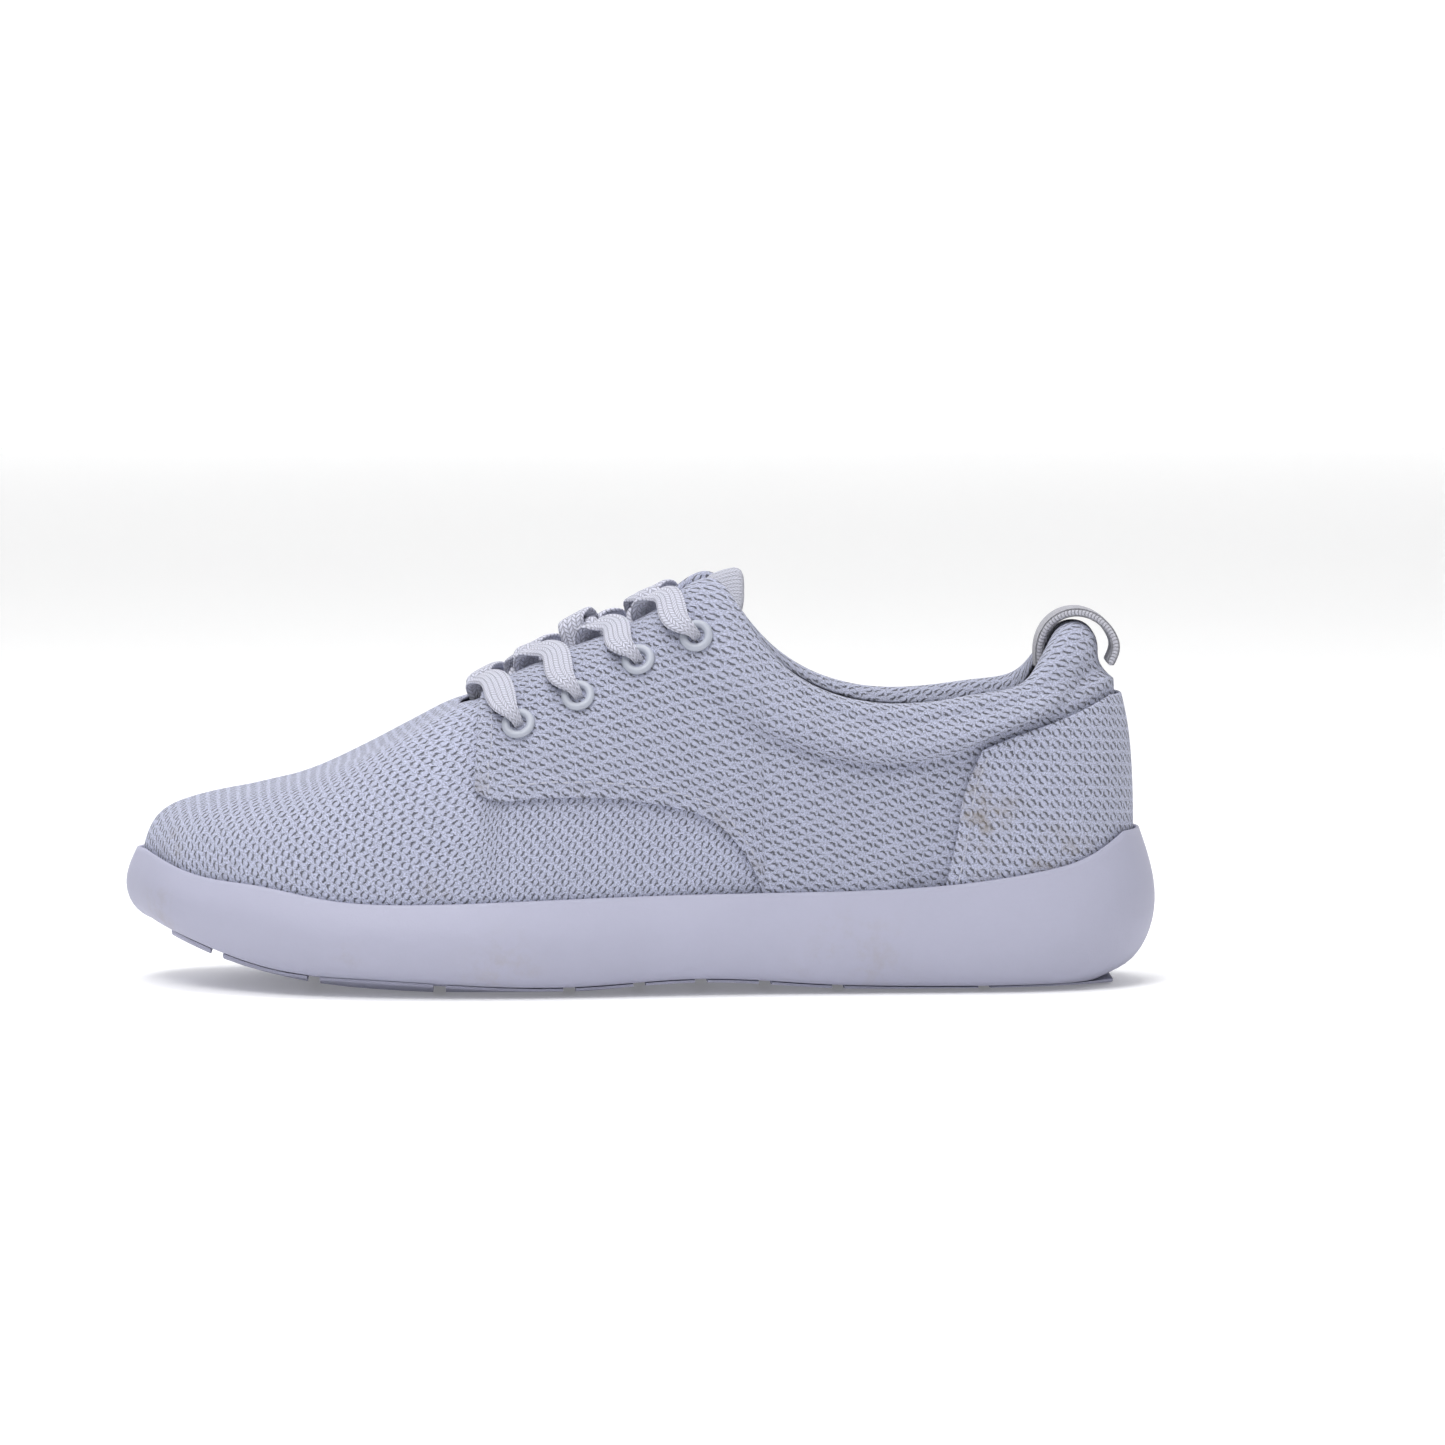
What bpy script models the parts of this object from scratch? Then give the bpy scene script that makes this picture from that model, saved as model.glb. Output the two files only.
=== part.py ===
"""A low lace-up running shoe for the left foot, modelled piece by piece.

Lengths are in millimetres until a mesh is made. The toe points to -X, the outer (lateral) side
faces -Y, and the sole stands on Z = 0. Almost every piece of the upper lies on one surface, the
"last surface": a column parameter `s` runs once round the shoe (0 at the toe, 1 at the heel,
lateral side first, back to 2 at the toe) and `v` climbs each column from the footbed (0) to the
top edge (1). Pieces are patches of that surface, held apart by their distance from it.
"""

import math

import bmesh
import bpy
import numpy as np

# Driving dimensions, in millimetres.
NOMINAL_LENGTH = 298.0
LENGTH = 298.0                  # overall length; every other size follows it
FABRIC = 1.2                    # outer mesh fabric
LINING = 0.8
CLEARANCE = 0.35                # between any two pieces
LIP = 1.2                       # thickness of the midsole's rim
TREAD = 1.5                     # thickness of an outsole pad
BOARD = 1.6                     # strobel board
INSOLE = 4.0
LACE_WIDTH = 7.8
LACE_THICKNESS = 1.5
LACE_LENGTH = 900.0
EYELET_HOLE = 2.35              # radii of the eyelet
EYELET_BARREL = 2.8
EYELET_FLANGE = 4.8
EYELET_FOOT = 3.8
FABRIC_HOLE = EYELET_BARREL + CLEARANCE
TONGUE_DEPTH = 8.8              # under the quarters
TONGUE_CROWN = -1.5             # its middle, against the crest of the throat's edges
TAB_WIDTH = 16.0
TAB_THICKNESS = 2.4
AGLET_LENGTH = 16.0

# One row per column of the last: outline of the sole (x, lateral y, medial y), then the top edge
# of the upper (x, half width, height of its crest), then the radius of the padded edge.
ROWS = (
    (-149.0, 10.0, 10.0, -50.5, 0.0, 85.3, 1.0),
    (-146.4, 0.5, 19.8, -50.4, 2.0, 85.3, 1.0),
    (-140.0, -13.5, 30.5, -50.1, 4.0, 85.2, 1.0),
    (-128.0, -27.0, 40.5, -49.7, 5.8, 85.1, 1.0),
    (-110.0, -39.5, 48.3, -49.2, 7.4, 85.0, 1.0),
    (-88.0, -48.5, 52.6, -48.5, 8.8, 84.9, 1.0),
    (-66.0, -52.6, 53.5, -47.5, 10.0, 85.0, 1.0),
    (-50.5, -53.5, 52.9, -45.6, 11.0, 86.0, 1.0),
    (-38.0, -53.1, 51.6, -37.0, 11.8, 90.6, 1.0),
    (-15.0, -50.5, 47.4, -14.0, 12.8, 100.8, 1.0),
    (9.0, -46.9, 42.6, 8.8, 14.4, 112.6, 1.0),
    (22.0, -45.1, 40.9, 21.5, 17.6, 118.0, 1.2),
    (31.0, -44.0, 40.1, 29.5, 25.0, 108.0, 2.4),
    (44.0, -42.8, 39.6, 41.5, 31.0, 94.6, 3.8),
    (75.0, -41.0, 39.6, 74.0, 32.8, 83.8, 4.8),
    (100.0, -39.8, 39.3, 98.0, 31.0, 87.2, 4.8),
    (122.0, -35.2, 35.2, 114.5, 25.6, 92.6, 4.8),
    (138.0, -25.6, 25.6, 123.8, 16.6, 102.2, 4.8),
    (146.4, -13.2, 13.2, 128.2, 8.2, 106.0, 4.8),
    (149.0, 0.0, 0.0, 129.4, 0.0, 106.6, 4.8),
)

# Side view of the toe's centre line, from the footbed to the front of the throat (x, z).
TOE_LINE = (
    (-143.0, 28.5), (-142.4, 40.0), (-138.6, 48.3), (-130.5, 53.1), (-116.5, 56.7),
    (-103.8, 59.6), (-88.6, 64.0), (-73.2, 69.4), (-60.6, 76.4), (-50.5, 84.3),
)

# Heights along the shoe (x, z).
RIM = (
    (-147.0, 38.3), (-140.3, 35.4), (-129.4, 32.4), (-114.0, 31.0), (-92.3, 27.6), (-68.0, 26.5),
    (-36.0, 27.4), (34.0, 29.0), (86.0, 30.7), (115.6, 34.5), (130.0, 38.0), (143.0, 44.5),
)
FOOTBED = (
    (-146.0, 28.5), (-128.0, 24.5), (-100.0, 20.5), (-60.0, 18.5), (0.0, 19.0), (60.0, 22.0),
    (100.0, 23.2), (146.0, 24.0),
)
SOLE_EDGE = (
    (-137.0, 16.6), (-119.4, 10.6), (-105.0, 7.0), (-80.0, 5.2), (-56.0, 3.9), (-20.0, 2.7),
    (15.0, 4.4), (34.0, 3.7), (52.0, 2.4), (66.0, 1.9), (134.0, 1.9),
)
SOLE_CENTRE = (
    (-137.0, 16.2), (-120.0, 9.6), (-105.0, 5.9), (-90.0, 3.2), (-75.0, 1.9), (-15.0, 1.9),
    (5.0, 3.6), (32.0, 3.9), (50.0, 2.5), (64.0, 1.9), (134.0, 1.9),
)
ROLL_SEAM = (
    (-55.0, 71.0), (-37.0, 76.5), (-14.0, 82.5), (3.0, 87.0), (16.4, 87.0), (22.5, 82.0),
    (30.6, 76.6), (40.1, 71.9), (49.5, 68.5), (69.4, 65.7), (88.3, 68.5), (104.0, 75.0),
    (120.5, 81.0), (133.0, 87.0),
)
QUARTER_EDGE = (
    (-56.0, 61.5), (-49.5, 59.5), (-45.0, 56.6), (-36.0, 55.7), (-4.0, 55.6), (10.7, 53.0),
    (21.0, 48.6), (27.2, 42.4), (31.8, 34.8), (36.0, 24.0), (40.0, 18.0),
)
HEEL_FRONT = ((24.0, 84.5), (41.6, 88.3), (50.1, 90.0), (58.6, 91.2), (65.3, 93.6), (72.0, 97.4))
GROOVES = (-122.0, -94.0, -58.0, -21.0, -1.0, 16.7, 35.0, 56.0, 98.0)
GROOVE_WIDTH = 3.6
EYELETS = ((-35.1, 76.3), (-18.2, 84.2), (-0.8, 94.2), (15.7, 101.2))     # lateral side (x, z)

WHITE_FOAM = ((0.72, 0.72, 0.80), 0.55)
WHITE_MESH = ((0.70, 0.73, 0.84), 0.85)
LINING_GREY = ((0.62, 0.61, 0.60), 0.9)
PLASTIC = ((0.74, 0.76, 0.84), 0.35)


def spline(points, keys=None, period=None):
    """A smooth curve through `points` at `keys`; closed when `period` is given."""
    values = np.asarray(points, float)
    if keys is None:
        keys, values = values[:, 0], values[:, 1]
    keys = np.asarray(keys, float)
    values = values.reshape(len(keys), -1)
    if period:
        keys = np.append(keys, keys[0] + period)
        values = np.vstack([values, values[:1]])
    count = len(keys)
    step = np.diff(keys)
    slope = np.diff(values, axis=0) / step[:, None]
    system = np.zeros((count, count))
    right = np.zeros_like(values)
    for i in range(1, count - 1):
        system[i, i - 1:i + 2] = step[i - 1], 2 * (step[i - 1] + step[i]), step[i]
        right[i] = 6 * (slope[i] - slope[i - 1])
    if period:
        system[0, 0], system[0, -1] = 1, -1
        system[-1, [0, 1, -2, -1]] = 2 * step[0], step[0], step[-1], 2 * step[-1]
        right[-1] = 6 * (slope[0] - slope[-1])
    else:
        system[0, 0] = system[-1, -1] = 1
    bend = np.linalg.solve(system, right)

    def at(key):
        key = np.asarray(key, float)
        key = keys[0] + (key - keys[0]) % period if period else np.clip(key, keys[0], keys[-1])
        i = np.clip(np.searchsorted(keys, key, "right") - 1, 0, count - 2)
        low = ((keys[i + 1] - key) / step[i])[..., None]
        high = 1 - low
        curve = low * values[i] + high * values[i + 1]
        curve += ((low**3 - low) * bend[i] + (high**3 - high) * bend[i + 1]) * (step[i]**2)[..., None] / 6
        return curve if values.shape[1] > 1 else curve[..., 0]

    return at


def ramp(value, low, high):
    """0 below `low`, 1 above `high`, smooth between."""
    t = np.clip((np.asarray(value, float) - low) / (high - low), 0, 1)
    return t * t * (3 - 2 * t)


def unit(vector):
    return vector / np.maximum(np.linalg.norm(vector, axis=-1, keepdims=True), 1e-9)


def chord_keys(points):
    """Cumulative distance along `points`, from 0 to 1."""
    lengths = np.linalg.norm(np.diff(np.asarray(points, float), axis=0), axis=1)
    return np.concatenate([[0], np.cumsum(lengths)]) / lengths.sum()


TABLE = np.array(ROWS)
ROW_KEYS = chord_keys(TABLE[:, :2])
LOOP_KEYS = np.concatenate([ROW_KEYS, 2 - ROW_KEYS[-2:0:-1]])


def closed_loop(lateral, medial):
    return spline(np.vstack([lateral, medial[-2:0:-1]]), LOOP_KEYS, 2.0)


outline = closed_loop(TABLE[:, [0, 1]], TABLE[:, [0, 2]])
top_loop = closed_loop(TABLE[:, [3, 4, 5]] * (1, -1, 1), TABLE[:, [3, 4, 5]])
edge_radius = closed_loop(TABLE[:, [6]], TABLE[:, [6]])
rim_height = spline(RIM)
footbed_height = spline(FOOTBED)
sole_edge = spline(SOLE_EDGE)
sole_centre = spline(SOLE_CENTRE)
roll_seam = spline(ROLL_SEAM)
quarter_edge = spline(QUARTER_EDGE)
heel_front = spline(HEEL_FRONT)
toe_shape = np.array(TOE_LINE)
toe_shape = (toe_shape - toe_shape[0]) / (toe_shape[-1] - toe_shape[0])
toe_profile = spline(toe_shape, chord_keys(TOE_LINE))


def along(s):
    """The column's place between toe (0) and heel (1), on either side."""
    s = np.asarray(s, float) % 2
    return np.minimum(s, 2 - s)


def inward(s):
    """Unit vector in plan, pointing from the sole's outline into the shoe."""
    tangent = unit(outline(np.asarray(s) + 1e-3) - outline(np.asarray(s) - 1e-3))
    return np.stack([tangent[..., 1], -tangent[..., 0]], -1) * -1


def inset(s):
    """How far the last surface stands in from the sole's widest outline."""
    return 6.0 - 1.4 * (1 - ramp(along(s), 0.0, 0.12)) + 1.8 * ramp(along(s), 0.8, 0.97)


def wall_gap(s):
    """From the last surface out to the midsole's inner wall, wider where the quarter reaches it."""
    return 0.25 + 1.7 * ramp(outline(s)[..., 0], 8, 30)


def feather(s):
    """Foot of each column, in plan."""
    return outline(s) + inward(s) * inset(s)[..., None]


def last_surface(s, v, padded=True):
    """Points of the last surface at columns `s` and climbs `v`; `padded` adds the collar's roll."""
    s, v = np.broadcast_arrays(np.asarray(s, float), np.asarray(v, float))
    foot = feather(s)
    crest = top_loop(s)
    floor = footbed_height(foot[..., 0]) + CLEARANCE
    top = crest[..., 2] - edge_radius(s) - FABRIC - 0.2
    toe = (1 - ramp(along(s), 0.0, 0.36))[..., None]
    angle = np.clip(v, 0, 1) * math.pi / 2
    side = np.stack([1 - np.cos(angle)**0.9, np.sin(angle)**0.9], -1)
    wall = np.clip(v, 0, 1)[..., None]**(4.5, 1.0)
    collar = ramp(along(s), ANKLE_COLUMN - 0.03, SIDE_COLUMN)[..., None]
    side = side * (1 - collar) + wall * collar
    shape = side * (1 - toe) + toe_profile(np.clip(v, 0, 1)) * toe
    plan = foot + (crest[..., :2] - foot) * shape[..., :1]
    height = floor + (top - floor) * shape[..., 1]
    if not padded:
        return np.concatenate([plan, height[..., None]], -1)
    seam = roll_seam(plan[..., 0])
    climb = np.clip((height - seam) / np.maximum(top - seam, 1), 0, 1)
    swell = 3.4 * ramp(plan[..., 0], 14, 44) - 6.4 * ramp(plan[..., 0], 108, 131)
    plan = plan - inward(s) * (swell * 6.75 * climb * (1 - climb)**2)[..., None]
    return np.concatenate([plan, height[..., None]], -1)


def directions(s, v, padded=True):
    """Unit normal (outwards) and unit climb of the last surface."""
    low, high = np.clip(v - 0.02, 0, 1), np.clip(v + 0.02, 0, 1)
    climb = unit(last_surface(s, high, padded) - last_surface(s, low, padded))
    go_round = unit(last_surface(s + 1e-3, v, padded) - last_surface(s - 1e-3, v, padded))
    return unit(np.cross(go_round, climb)), climb


def layer(s, v, distance, padded=True):
    """The last surface moved outwards by `distance`. Above v = 1 it curls over the padded edge."""
    s, v, distance = np.broadcast_arrays(s, np.asarray(v, float), np.asarray(distance, float))
    body = np.minimum(v, 1)
    normal, climb = directions(s, body, padded)
    radius = edge_radius(s)[..., None]
    turn = (np.maximum(v - 1, 0) * math.pi)[..., None]
    centre = last_surface(s, body, padded) - radius * normal
    return centre + (radius + distance[..., None]) * (np.cos(turn) * normal + np.sin(turn) * climb)


def climb_to(s, height):
    """The v at which the column `s` reaches `height`, a function of x."""
    s = np.asarray(s, float)
    low, high = np.zeros_like(s), np.ones_like(s)
    for _ in range(30):
        middle = (low + high) / 2
        point = last_surface(s, middle, False)
        below = point[..., 2] < height(point[..., 0])
        low, high = np.where(below, middle, low), np.where(below, high, middle)
    return (low + high) / 2


def column_at(x, side):
    """The column whose foot is at `x`, on side -1 (lateral) or 1 (medial)."""
    low, high = 0.0, 1.0
    for _ in range(40):
        middle = (low + high) / 2
        here = feather(middle if side < 0 else 2 - middle)[0]
        low, high = (middle, high) if here < x else (low, middle)
    return low if side < 0 else 2 - low


def find_on_last(x, z, side):
    """(s, v) of the point of the last surface seen at (x, z) from the side."""
    low, high = 0.2, 0.9
    for _ in range(40):
        middle = (low + high) / 2
        s = np.array(middle if side < 0 else 2 - middle)
        v = climb_to(s, lambda _: z)
        low, high = (middle, high) if last_surface(s, v)[0] < x else (low, middle)
    return s, v


def spread(low, high, count):
    """`count` values from `low` to `high`, which may be arrays, along a new last axis."""
    steps = np.linspace(0, 1, count)
    return np.asarray(low, float)[..., None] * (1 - steps) + np.asarray(high, float)[..., None] * steps


def material(name, look):
    colour, roughness = look
    made = bpy.data.materials.new(name)
    made.use_nodes = True
    shader = made.node_tree.nodes["Principled BSDF"]
    shader.inputs["Base Color"].default_value = (*colour, 1.0)
    shader.inputs["Roughness"].default_value = roughness
    shader.inputs["Metallic"].default_value = 0.0
    return made


def solid(name, points, faces, look):
    """An object from points in millimetres. Doubled points are merged and its faces turned outwards."""
    scale = 0.001 * LENGTH / NOMINAL_LENGTH
    mesh = bpy.data.meshes.new(name)
    mesh.from_pydata((np.asarray(points, float).reshape(-1, 3) * scale).tolist(), [], faces)
    form = bmesh.new()
    form.from_mesh(mesh)
    loose = [vertex for vertex in form.verts if not vertex.link_faces]
    bmesh.ops.delete(form, geom=loose, context="VERTS")
    bmesh.ops.remove_doubles(form, verts=form.verts, dist=2e-6)
    bmesh.ops.dissolve_degenerate(form, edges=form.edges, dist=1e-6)
    bmesh.ops.triangulate(form, faces=form.faces)
    bmesh.ops.recalc_face_normals(form, faces=form.faces)
    form.to_mesh(mesh)
    form.free()
    mesh.shade_smooth()
    mesh.set_sharp_from_angle(angle=math.radians(35))
    mesh.materials.append(material(name, look))
    made = bpy.data.objects.new(name, mesh)
    bpy.context.scene.collection.objects.link(made)
    return made


def shell(name, outer, inner, look, keep=None):
    """A closed sheet between two grids of points of the same shape. `keep` picks its cells."""
    rows, columns = outer.shape[:2]
    count = rows * columns
    if keep is None:
        keep = np.ones((rows - 1, columns - 1), bool)
    kept = np.pad(keep, 1)
    faces = []
    for i, j in zip(*np.nonzero(keep)):
        a, b = int(i * columns + j), int((i + 1) * columns + j)
        c, d = b + 1, a + 1
        faces += [[a, b, c], [a, c, d], [c + count, b + count, a + count], [d + count, c + count, a + count]]
        beside = (kept[i + 1, j], kept[i + 2, j + 1], kept[i + 1, j + 2], kept[i, j + 1])
        for (here, after), covered in zip(((a, b), (b, c), (c, d), (d, a)), beside):
            if not covered:
                faces.append([here, here + count, after + count, after])
    return solid(name, np.concatenate([outer.reshape(-1, 3), inner.reshape(-1, 3)]), faces, look)


def loft(name, rings, look):
    """A closed solid through rings of equal point count, capped at both ends."""
    rings = np.asarray(rings, float)
    count, size = rings.shape[:2]
    faces = []
    for i in range(count - 1):
        for j in range(size):
            k = (j + 1) % size
            faces.append([i * size + j, i * size + k, (i + 1) * size + k])
            faces.append([i * size + j, (i + 1) * size + k, (i + 1) * size + j])
    faces.append(list(range(size)))
    faces.append(list(range((count - 1) * size, count * size)))
    return solid(name, rings, faces, look)


def cut(target, cutters):
    """Takes the cutters' volumes out of `target`."""
    for cutter in cutters:
        cutter.hide_render = True
        cutter.display_type = "WIRE"
        hole = target.modifiers.new(cutter.name, "BOOLEAN")
        hole.object = cutter
        hole.operation = "DIFFERENCE"


def turned(name, profile, place, axis, look, segments=10):
    """A solid of revolution: `profile` holds (radius, height) round `axis` at `place`, a closed loop."""
    axis = unit(np.asarray(axis, float))
    across = unit(np.cross(axis, (1.0, 0.0, 0.0)))
    other = np.cross(axis, across)
    rings = []
    for k in range(segments):
        turn = 2 * math.pi * k / segments
        spoke = math.cos(turn) * across + math.sin(turn) * other
        rings.append([place + radius * spoke + height * axis for radius, height in profile])
    rings = np.array(rings)
    size = len(profile)
    faces = []
    for k in range(segments):
        n = (k + 1) % segments
        for j in range(size):
            m = (j + 1) % size
            faces.append([k * size + j, n * size + j, n * size + m, k * size + m])
    return solid(name, rings, faces, look)


def end_spaced(count, low=0.0, high=1.0):
    """Places from low to high, closer together near both ends."""
    return low + (high - low) * (0.5 - 0.5 * np.cos(np.linspace(0, math.pi, count)))


# Every piece is cut at the same columns, so that neighbouring layers stay parallel.
FRONT_COLUMN = float(column_at(-48.5, -1))      # front edge of the quarters
SIDE_COLUMN = float(column_at(45.0, -1))        # rear end of the vamp, below the ankle
ANKLE_COLUMN = float(column_at(18.0, -1))       # rear end of the throat
STATIONS = np.concatenate([
    FRONT_COLUMN * np.linspace(0, 1, 11)**1.3,
    [FRONT_COLUMN + 0.02],
    np.linspace(FRONT_COLUMN + 0.04, SIDE_COLUMN, 10),
    end_spaced(19, 2 * SIDE_COLUMN - 1, 1.0)[10:],
])


# Sole.

def sole_ring(t):
    """Section of the midsole across the shoe at place t, as one closed ring of points."""
    halves = []
    for s in (t, 2 - t):
        edge = outline(s)
        into = inward(s)
        lip_in = float(inset(s) - wall_gap(s))
        lip_out = lip_in - LIP
        under = 6.0 + 5.0 * float(1 - ramp(t, 0.0, 0.12)) + 9.5 * float(ramp(t, 0.86, 0.98))
        bottom = edge + into * under
        low = float(sole_edge(bottom[0]))
        high = float(rim_height(edge[0]))
        floor = float(footbed_height((edge + into * lip_in)[0]))
        tall = high - low
        profile = (
            (lip_in, floor), (lip_in, high - 0.2), (lip_out, high), (0.42 * lip_out, high - 0.2 * tall),
            (0.0, high - 0.45 * tall), (0.14 * under, low + 0.26 * tall),
            (0.5 * under, low + 0.08 * tall), (under, low),
        )
        halves.append([np.append(edge + into * reach, z) for reach, z in profile])
    lateral, medial = halves
    ring = list(lateral)
    for k in (0.2, 0.5, 0.8):
        middle = lateral[-1] * (1 - k) + medial[-1] * k
        crown = 1 - (2 * k - 1)**4
        middle[2] += (float(sole_centre(middle[0])) - middle[2]) * crown
        ring.append(middle)
    ring += medial[::-1]
    for k in (0.75, 0.5, 0.25):
        ring.append(lateral[0] * (1 - k) + medial[0] * k)
    return ring


def make_midsole():
    loft("midsole", [sole_ring(t) for t in STATIONS], WHITE_FOAM)


def make_footbed_layer(name, bottom, thickness, margin, look, rise=0.0):
    """A board that lies on the footbed, `margin` inside the last surface, with raised edges."""
    rings = []
    for t in STATIONS[1:-1]:
        sides = []
        for s in (t, 2 - t):
            foot = feather(s) + inward(s) * margin
            sides.append(np.append(foot, footbed_height(foot[0]) + bottom))
        ring = []
        places = (0.0, 0.12, 0.5, 0.88, 1.0)
        for k in places:
            ring.append(sides[0] * (1 - k) + sides[1] * k)
        for k in reversed(places):
            lifted = sides[0] * (1 - k) + sides[1] * k
            lifted[2] += thickness + rise * (2 * k - 1)**6
            ring.append(lifted)
        rings.append(ring)
    loft(name, rings, look)


def make_outsole():
    """Tread pads under the midsole, parted by the grooves."""
    front = feather(0.0)[0] + 9
    stops = [front - GROOVE_WIDTH / 2, *GROOVES, 136.0 + GROOVE_WIDTH / 2]
    for number, (start, stop) in enumerate(zip(stops, stops[1:]), 1):
        rings = []
        for x in np.linspace(start + GROOVE_WIDTH / 2, stop - GROOVE_WIDTH / 2, 5):
            sides = []
            for side in (-1, 1):
                s = outline_column(x, side)
                under = 7.5 + 1.5 * float(ramp(x, 90, 130))
                sides.append(edge_in_from_outline(s, under, x))
            lateral, medial = sides
            upper = []
            lower = []
            for k in (0.0, 0.15, 0.5, 0.85, 1.0):
                y = lateral * (1 - k) + medial * k
                top = bottom_height(x, k) - CLEARANCE
                chamfer = 0.8 if k in (0.0, 1.0) else 0.0
                upper.append((x, y, top))
                lower.append((x, y, max(top - TREAD, 0.0) + chamfer))
            rings.append(upper + lower[::-1])
        loft(f"outsole_pad_{number}", rings, WHITE_FOAM)


def outline_column(x, side):
    """The column where the sole's outline passes `x` on the given side."""
    low, high = 0.0, 1.0
    for _ in range(40):
        middle = (low + high) / 2
        here = outline(middle if side < 0 else 2 - middle)[0]
        low, high = (middle, high) if here < x else (low, middle)
    return low if side < 0 else 2 - low


def edge_in_from_outline(s, under, x):
    """The y of the line `under` inside the outline, near the column s, at x."""
    near = s + np.linspace(-0.12, 0.12, 241)
    line = outline(near) + inward(near) * under
    return float(line[np.argmin(np.abs(line[:, 0] - x)), 1])


def bottom_height(x, k):
    """Height of the midsole's underside at x, a share k of the way from lateral to medial."""
    crown = 1 - (2 * k - 1)**4
    return float(sole_edge(x) + (sole_centre(x) - sole_edge(x)) * crown) - 0.12


# Upper.

def both_sides(t):
    """Columns of one side, from the toe back, and their twins: lateral rear, toe, medial rear."""
    return np.concatenate([t[:0:-1], -t])


def sheet(s, low, high, rows):
    """A grid of columns and climbs between two edges."""
    v = spread(low, high, rows)
    return np.broadcast_to(s[:, None], v.shape), v


def mirror(s, side):
    """Column s of the lateral side, or its twin on the medial side."""
    return s if side < 0 else 2 - s


def vamp_grid(t):
    """Columns and climbs of the vamp: a strip that ends under the quarter, then the toe's top."""
    s = both_sides(t)
    middle = np.minimum(climb_to(s, lambda x: quarter_edge(x) + 8.0), 0.9)
    v = np.concatenate([spread(0 * s, middle, 6)[:, :-1], spread(middle, 0 * s + 0.975, 4)], axis=1)
    return np.broadcast_to(s[:, None], v.shape), v


def make_vamp():
    grid, v = vamp_grid(STATIONS[STATIONS <= SIDE_COLUMN])
    behind = np.maximum(along(grid[:-1]), along(grid[1:]))[:, 1:] > FRONT_COLUMN + 0.021
    keep = ~(behind & (np.arange(8) > 4))
    shell("vamp", layer(grid, v, -0.2), layer(grid, v, -0.2 - FABRIC), WHITE_MESH, keep)


def make_toe_puff():
    grid, v = vamp_grid(STATIONS[STATIONS < 0.1])
    grid, v = grid[:, 1:6], v[:, 1:6]
    shell("toe_puff", layer(grid, v, -1.8), layer(grid, v, -2.8), LINING_GREY)


def make_vamp_lining():
    grid, v = vamp_grid(STATIONS[STATIONS < FRONT_COLUMN + 0.021])
    depth = lining_depth(grid, v)
    outer = layer(grid, v, LINING - depth, False)
    shell("vamp_lining", outer, layer(grid, v, -depth, False), LINING_GREY)


def lining_depth(s, v):
    """Distance of the lining's foot side behind the last surface."""
    at_toe = 1 - ramp(along(s), 0.10, 0.20)
    at_heel = ramp(along(s), 0.66, 0.74)
    seam = climb_to(s, roll_seam)
    padded = ramp(v, seam - 0.12, 1.0) * ramp(along(s), ANKLE_COLUMN + 0.02, SIDE_COLUMN)
    base = 3.0 + 1.2 * at_toe + 1.8 * at_heel
    return base * (1 - padded) + (2 * edge_radius(s) + 1.3) * padded


def under_heel_panel(s, v):
    """1 where the heel panel covers the quarter."""
    point = last_surface(s, v)
    front = heel_front(point[..., 2])
    seam = climb_to(s, roll_seam)
    return ramp(point[..., 0], front - 16, front - 6) * (1 - ramp(v, seam - 0.045, seam))


def quarter_columns(side):
    t = STATIONS[STATIONS >= FRONT_COLUMN - 1e-6].copy()
    t[-1] = 1 - 0.0012
    return mirror(t, side)


def quarter_rows(s, low):
    """Climbs of the quarter: the wall, the padded roll, then the curl over the edge."""
    seam = climb_to(s, roll_seam)
    edge = np.ones_like(s)
    rows = [spread(low, seam - 0.05, 5), spread(seam, edge, 5)[:, :-1], spread(edge, 1.75 * edge, 5)]
    v = np.concatenate(rows, axis=1)
    return np.broadcast_to(s[:, None], v.shape), v


def make_quarter(side, word, holes):
    s = quarter_columns(side)
    low = np.where(feather(s)[:, 0] > 34.5, 0.0, climb_to(s, quarter_edge))
    grid, v = quarter_rows(s, low)
    inner = 0.2 - 1.8 * under_heel_panel(grid, np.minimum(v, 1))
    made = shell(f"quarter_{word}", layer(grid, v, inner + FABRIC), layer(grid, v, inner), WHITE_MESH)
    cut(made, holes)


def make_quarter_lining(side, word, holes):
    s = quarter_columns(side)
    s = np.append(mirror(FRONT_COLUMN + 0.026, side), s[2:])
    grid, v = quarter_rows(s, np.zeros_like(s))
    last = 0.955 + 0.044 * ramp(along(s), ANKLE_COLUMN, SIDE_COLUMN)
    grid, v = grid[:, :10], np.minimum(v[:, :10], last[:, None])
    depth = lining_depth(grid, v)
    name = f"quarter_lining_{word}"
    outer = layer(grid, v, LINING - depth, False)
    made = shell(name, outer, layer(grid, v, -depth, False), LINING_GREY)
    cut(made, holes)


def make_eyestay(side, word, holes):
    """Stiff strip behind the eyelets, between the quarter and its lining."""
    s = quarter_columns(side)
    s = s[(along(s) > FRONT_COLUMN + 0.022) & (along(s) < column_at(24, -1))]
    s = np.append(mirror(FRONT_COLUMN + 0.026, side), s)
    grid, v = sheet(s, climb_to(s, lambda x: 67.5 + 0.46 * (x + 35)), np.full_like(s, 0.92), 5)
    made = shell(f"eyestay_{word}", layer(grid, v, -0.5), layer(grid, v, -1.4), LINING_GREY)
    cut(made, holes)


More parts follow.
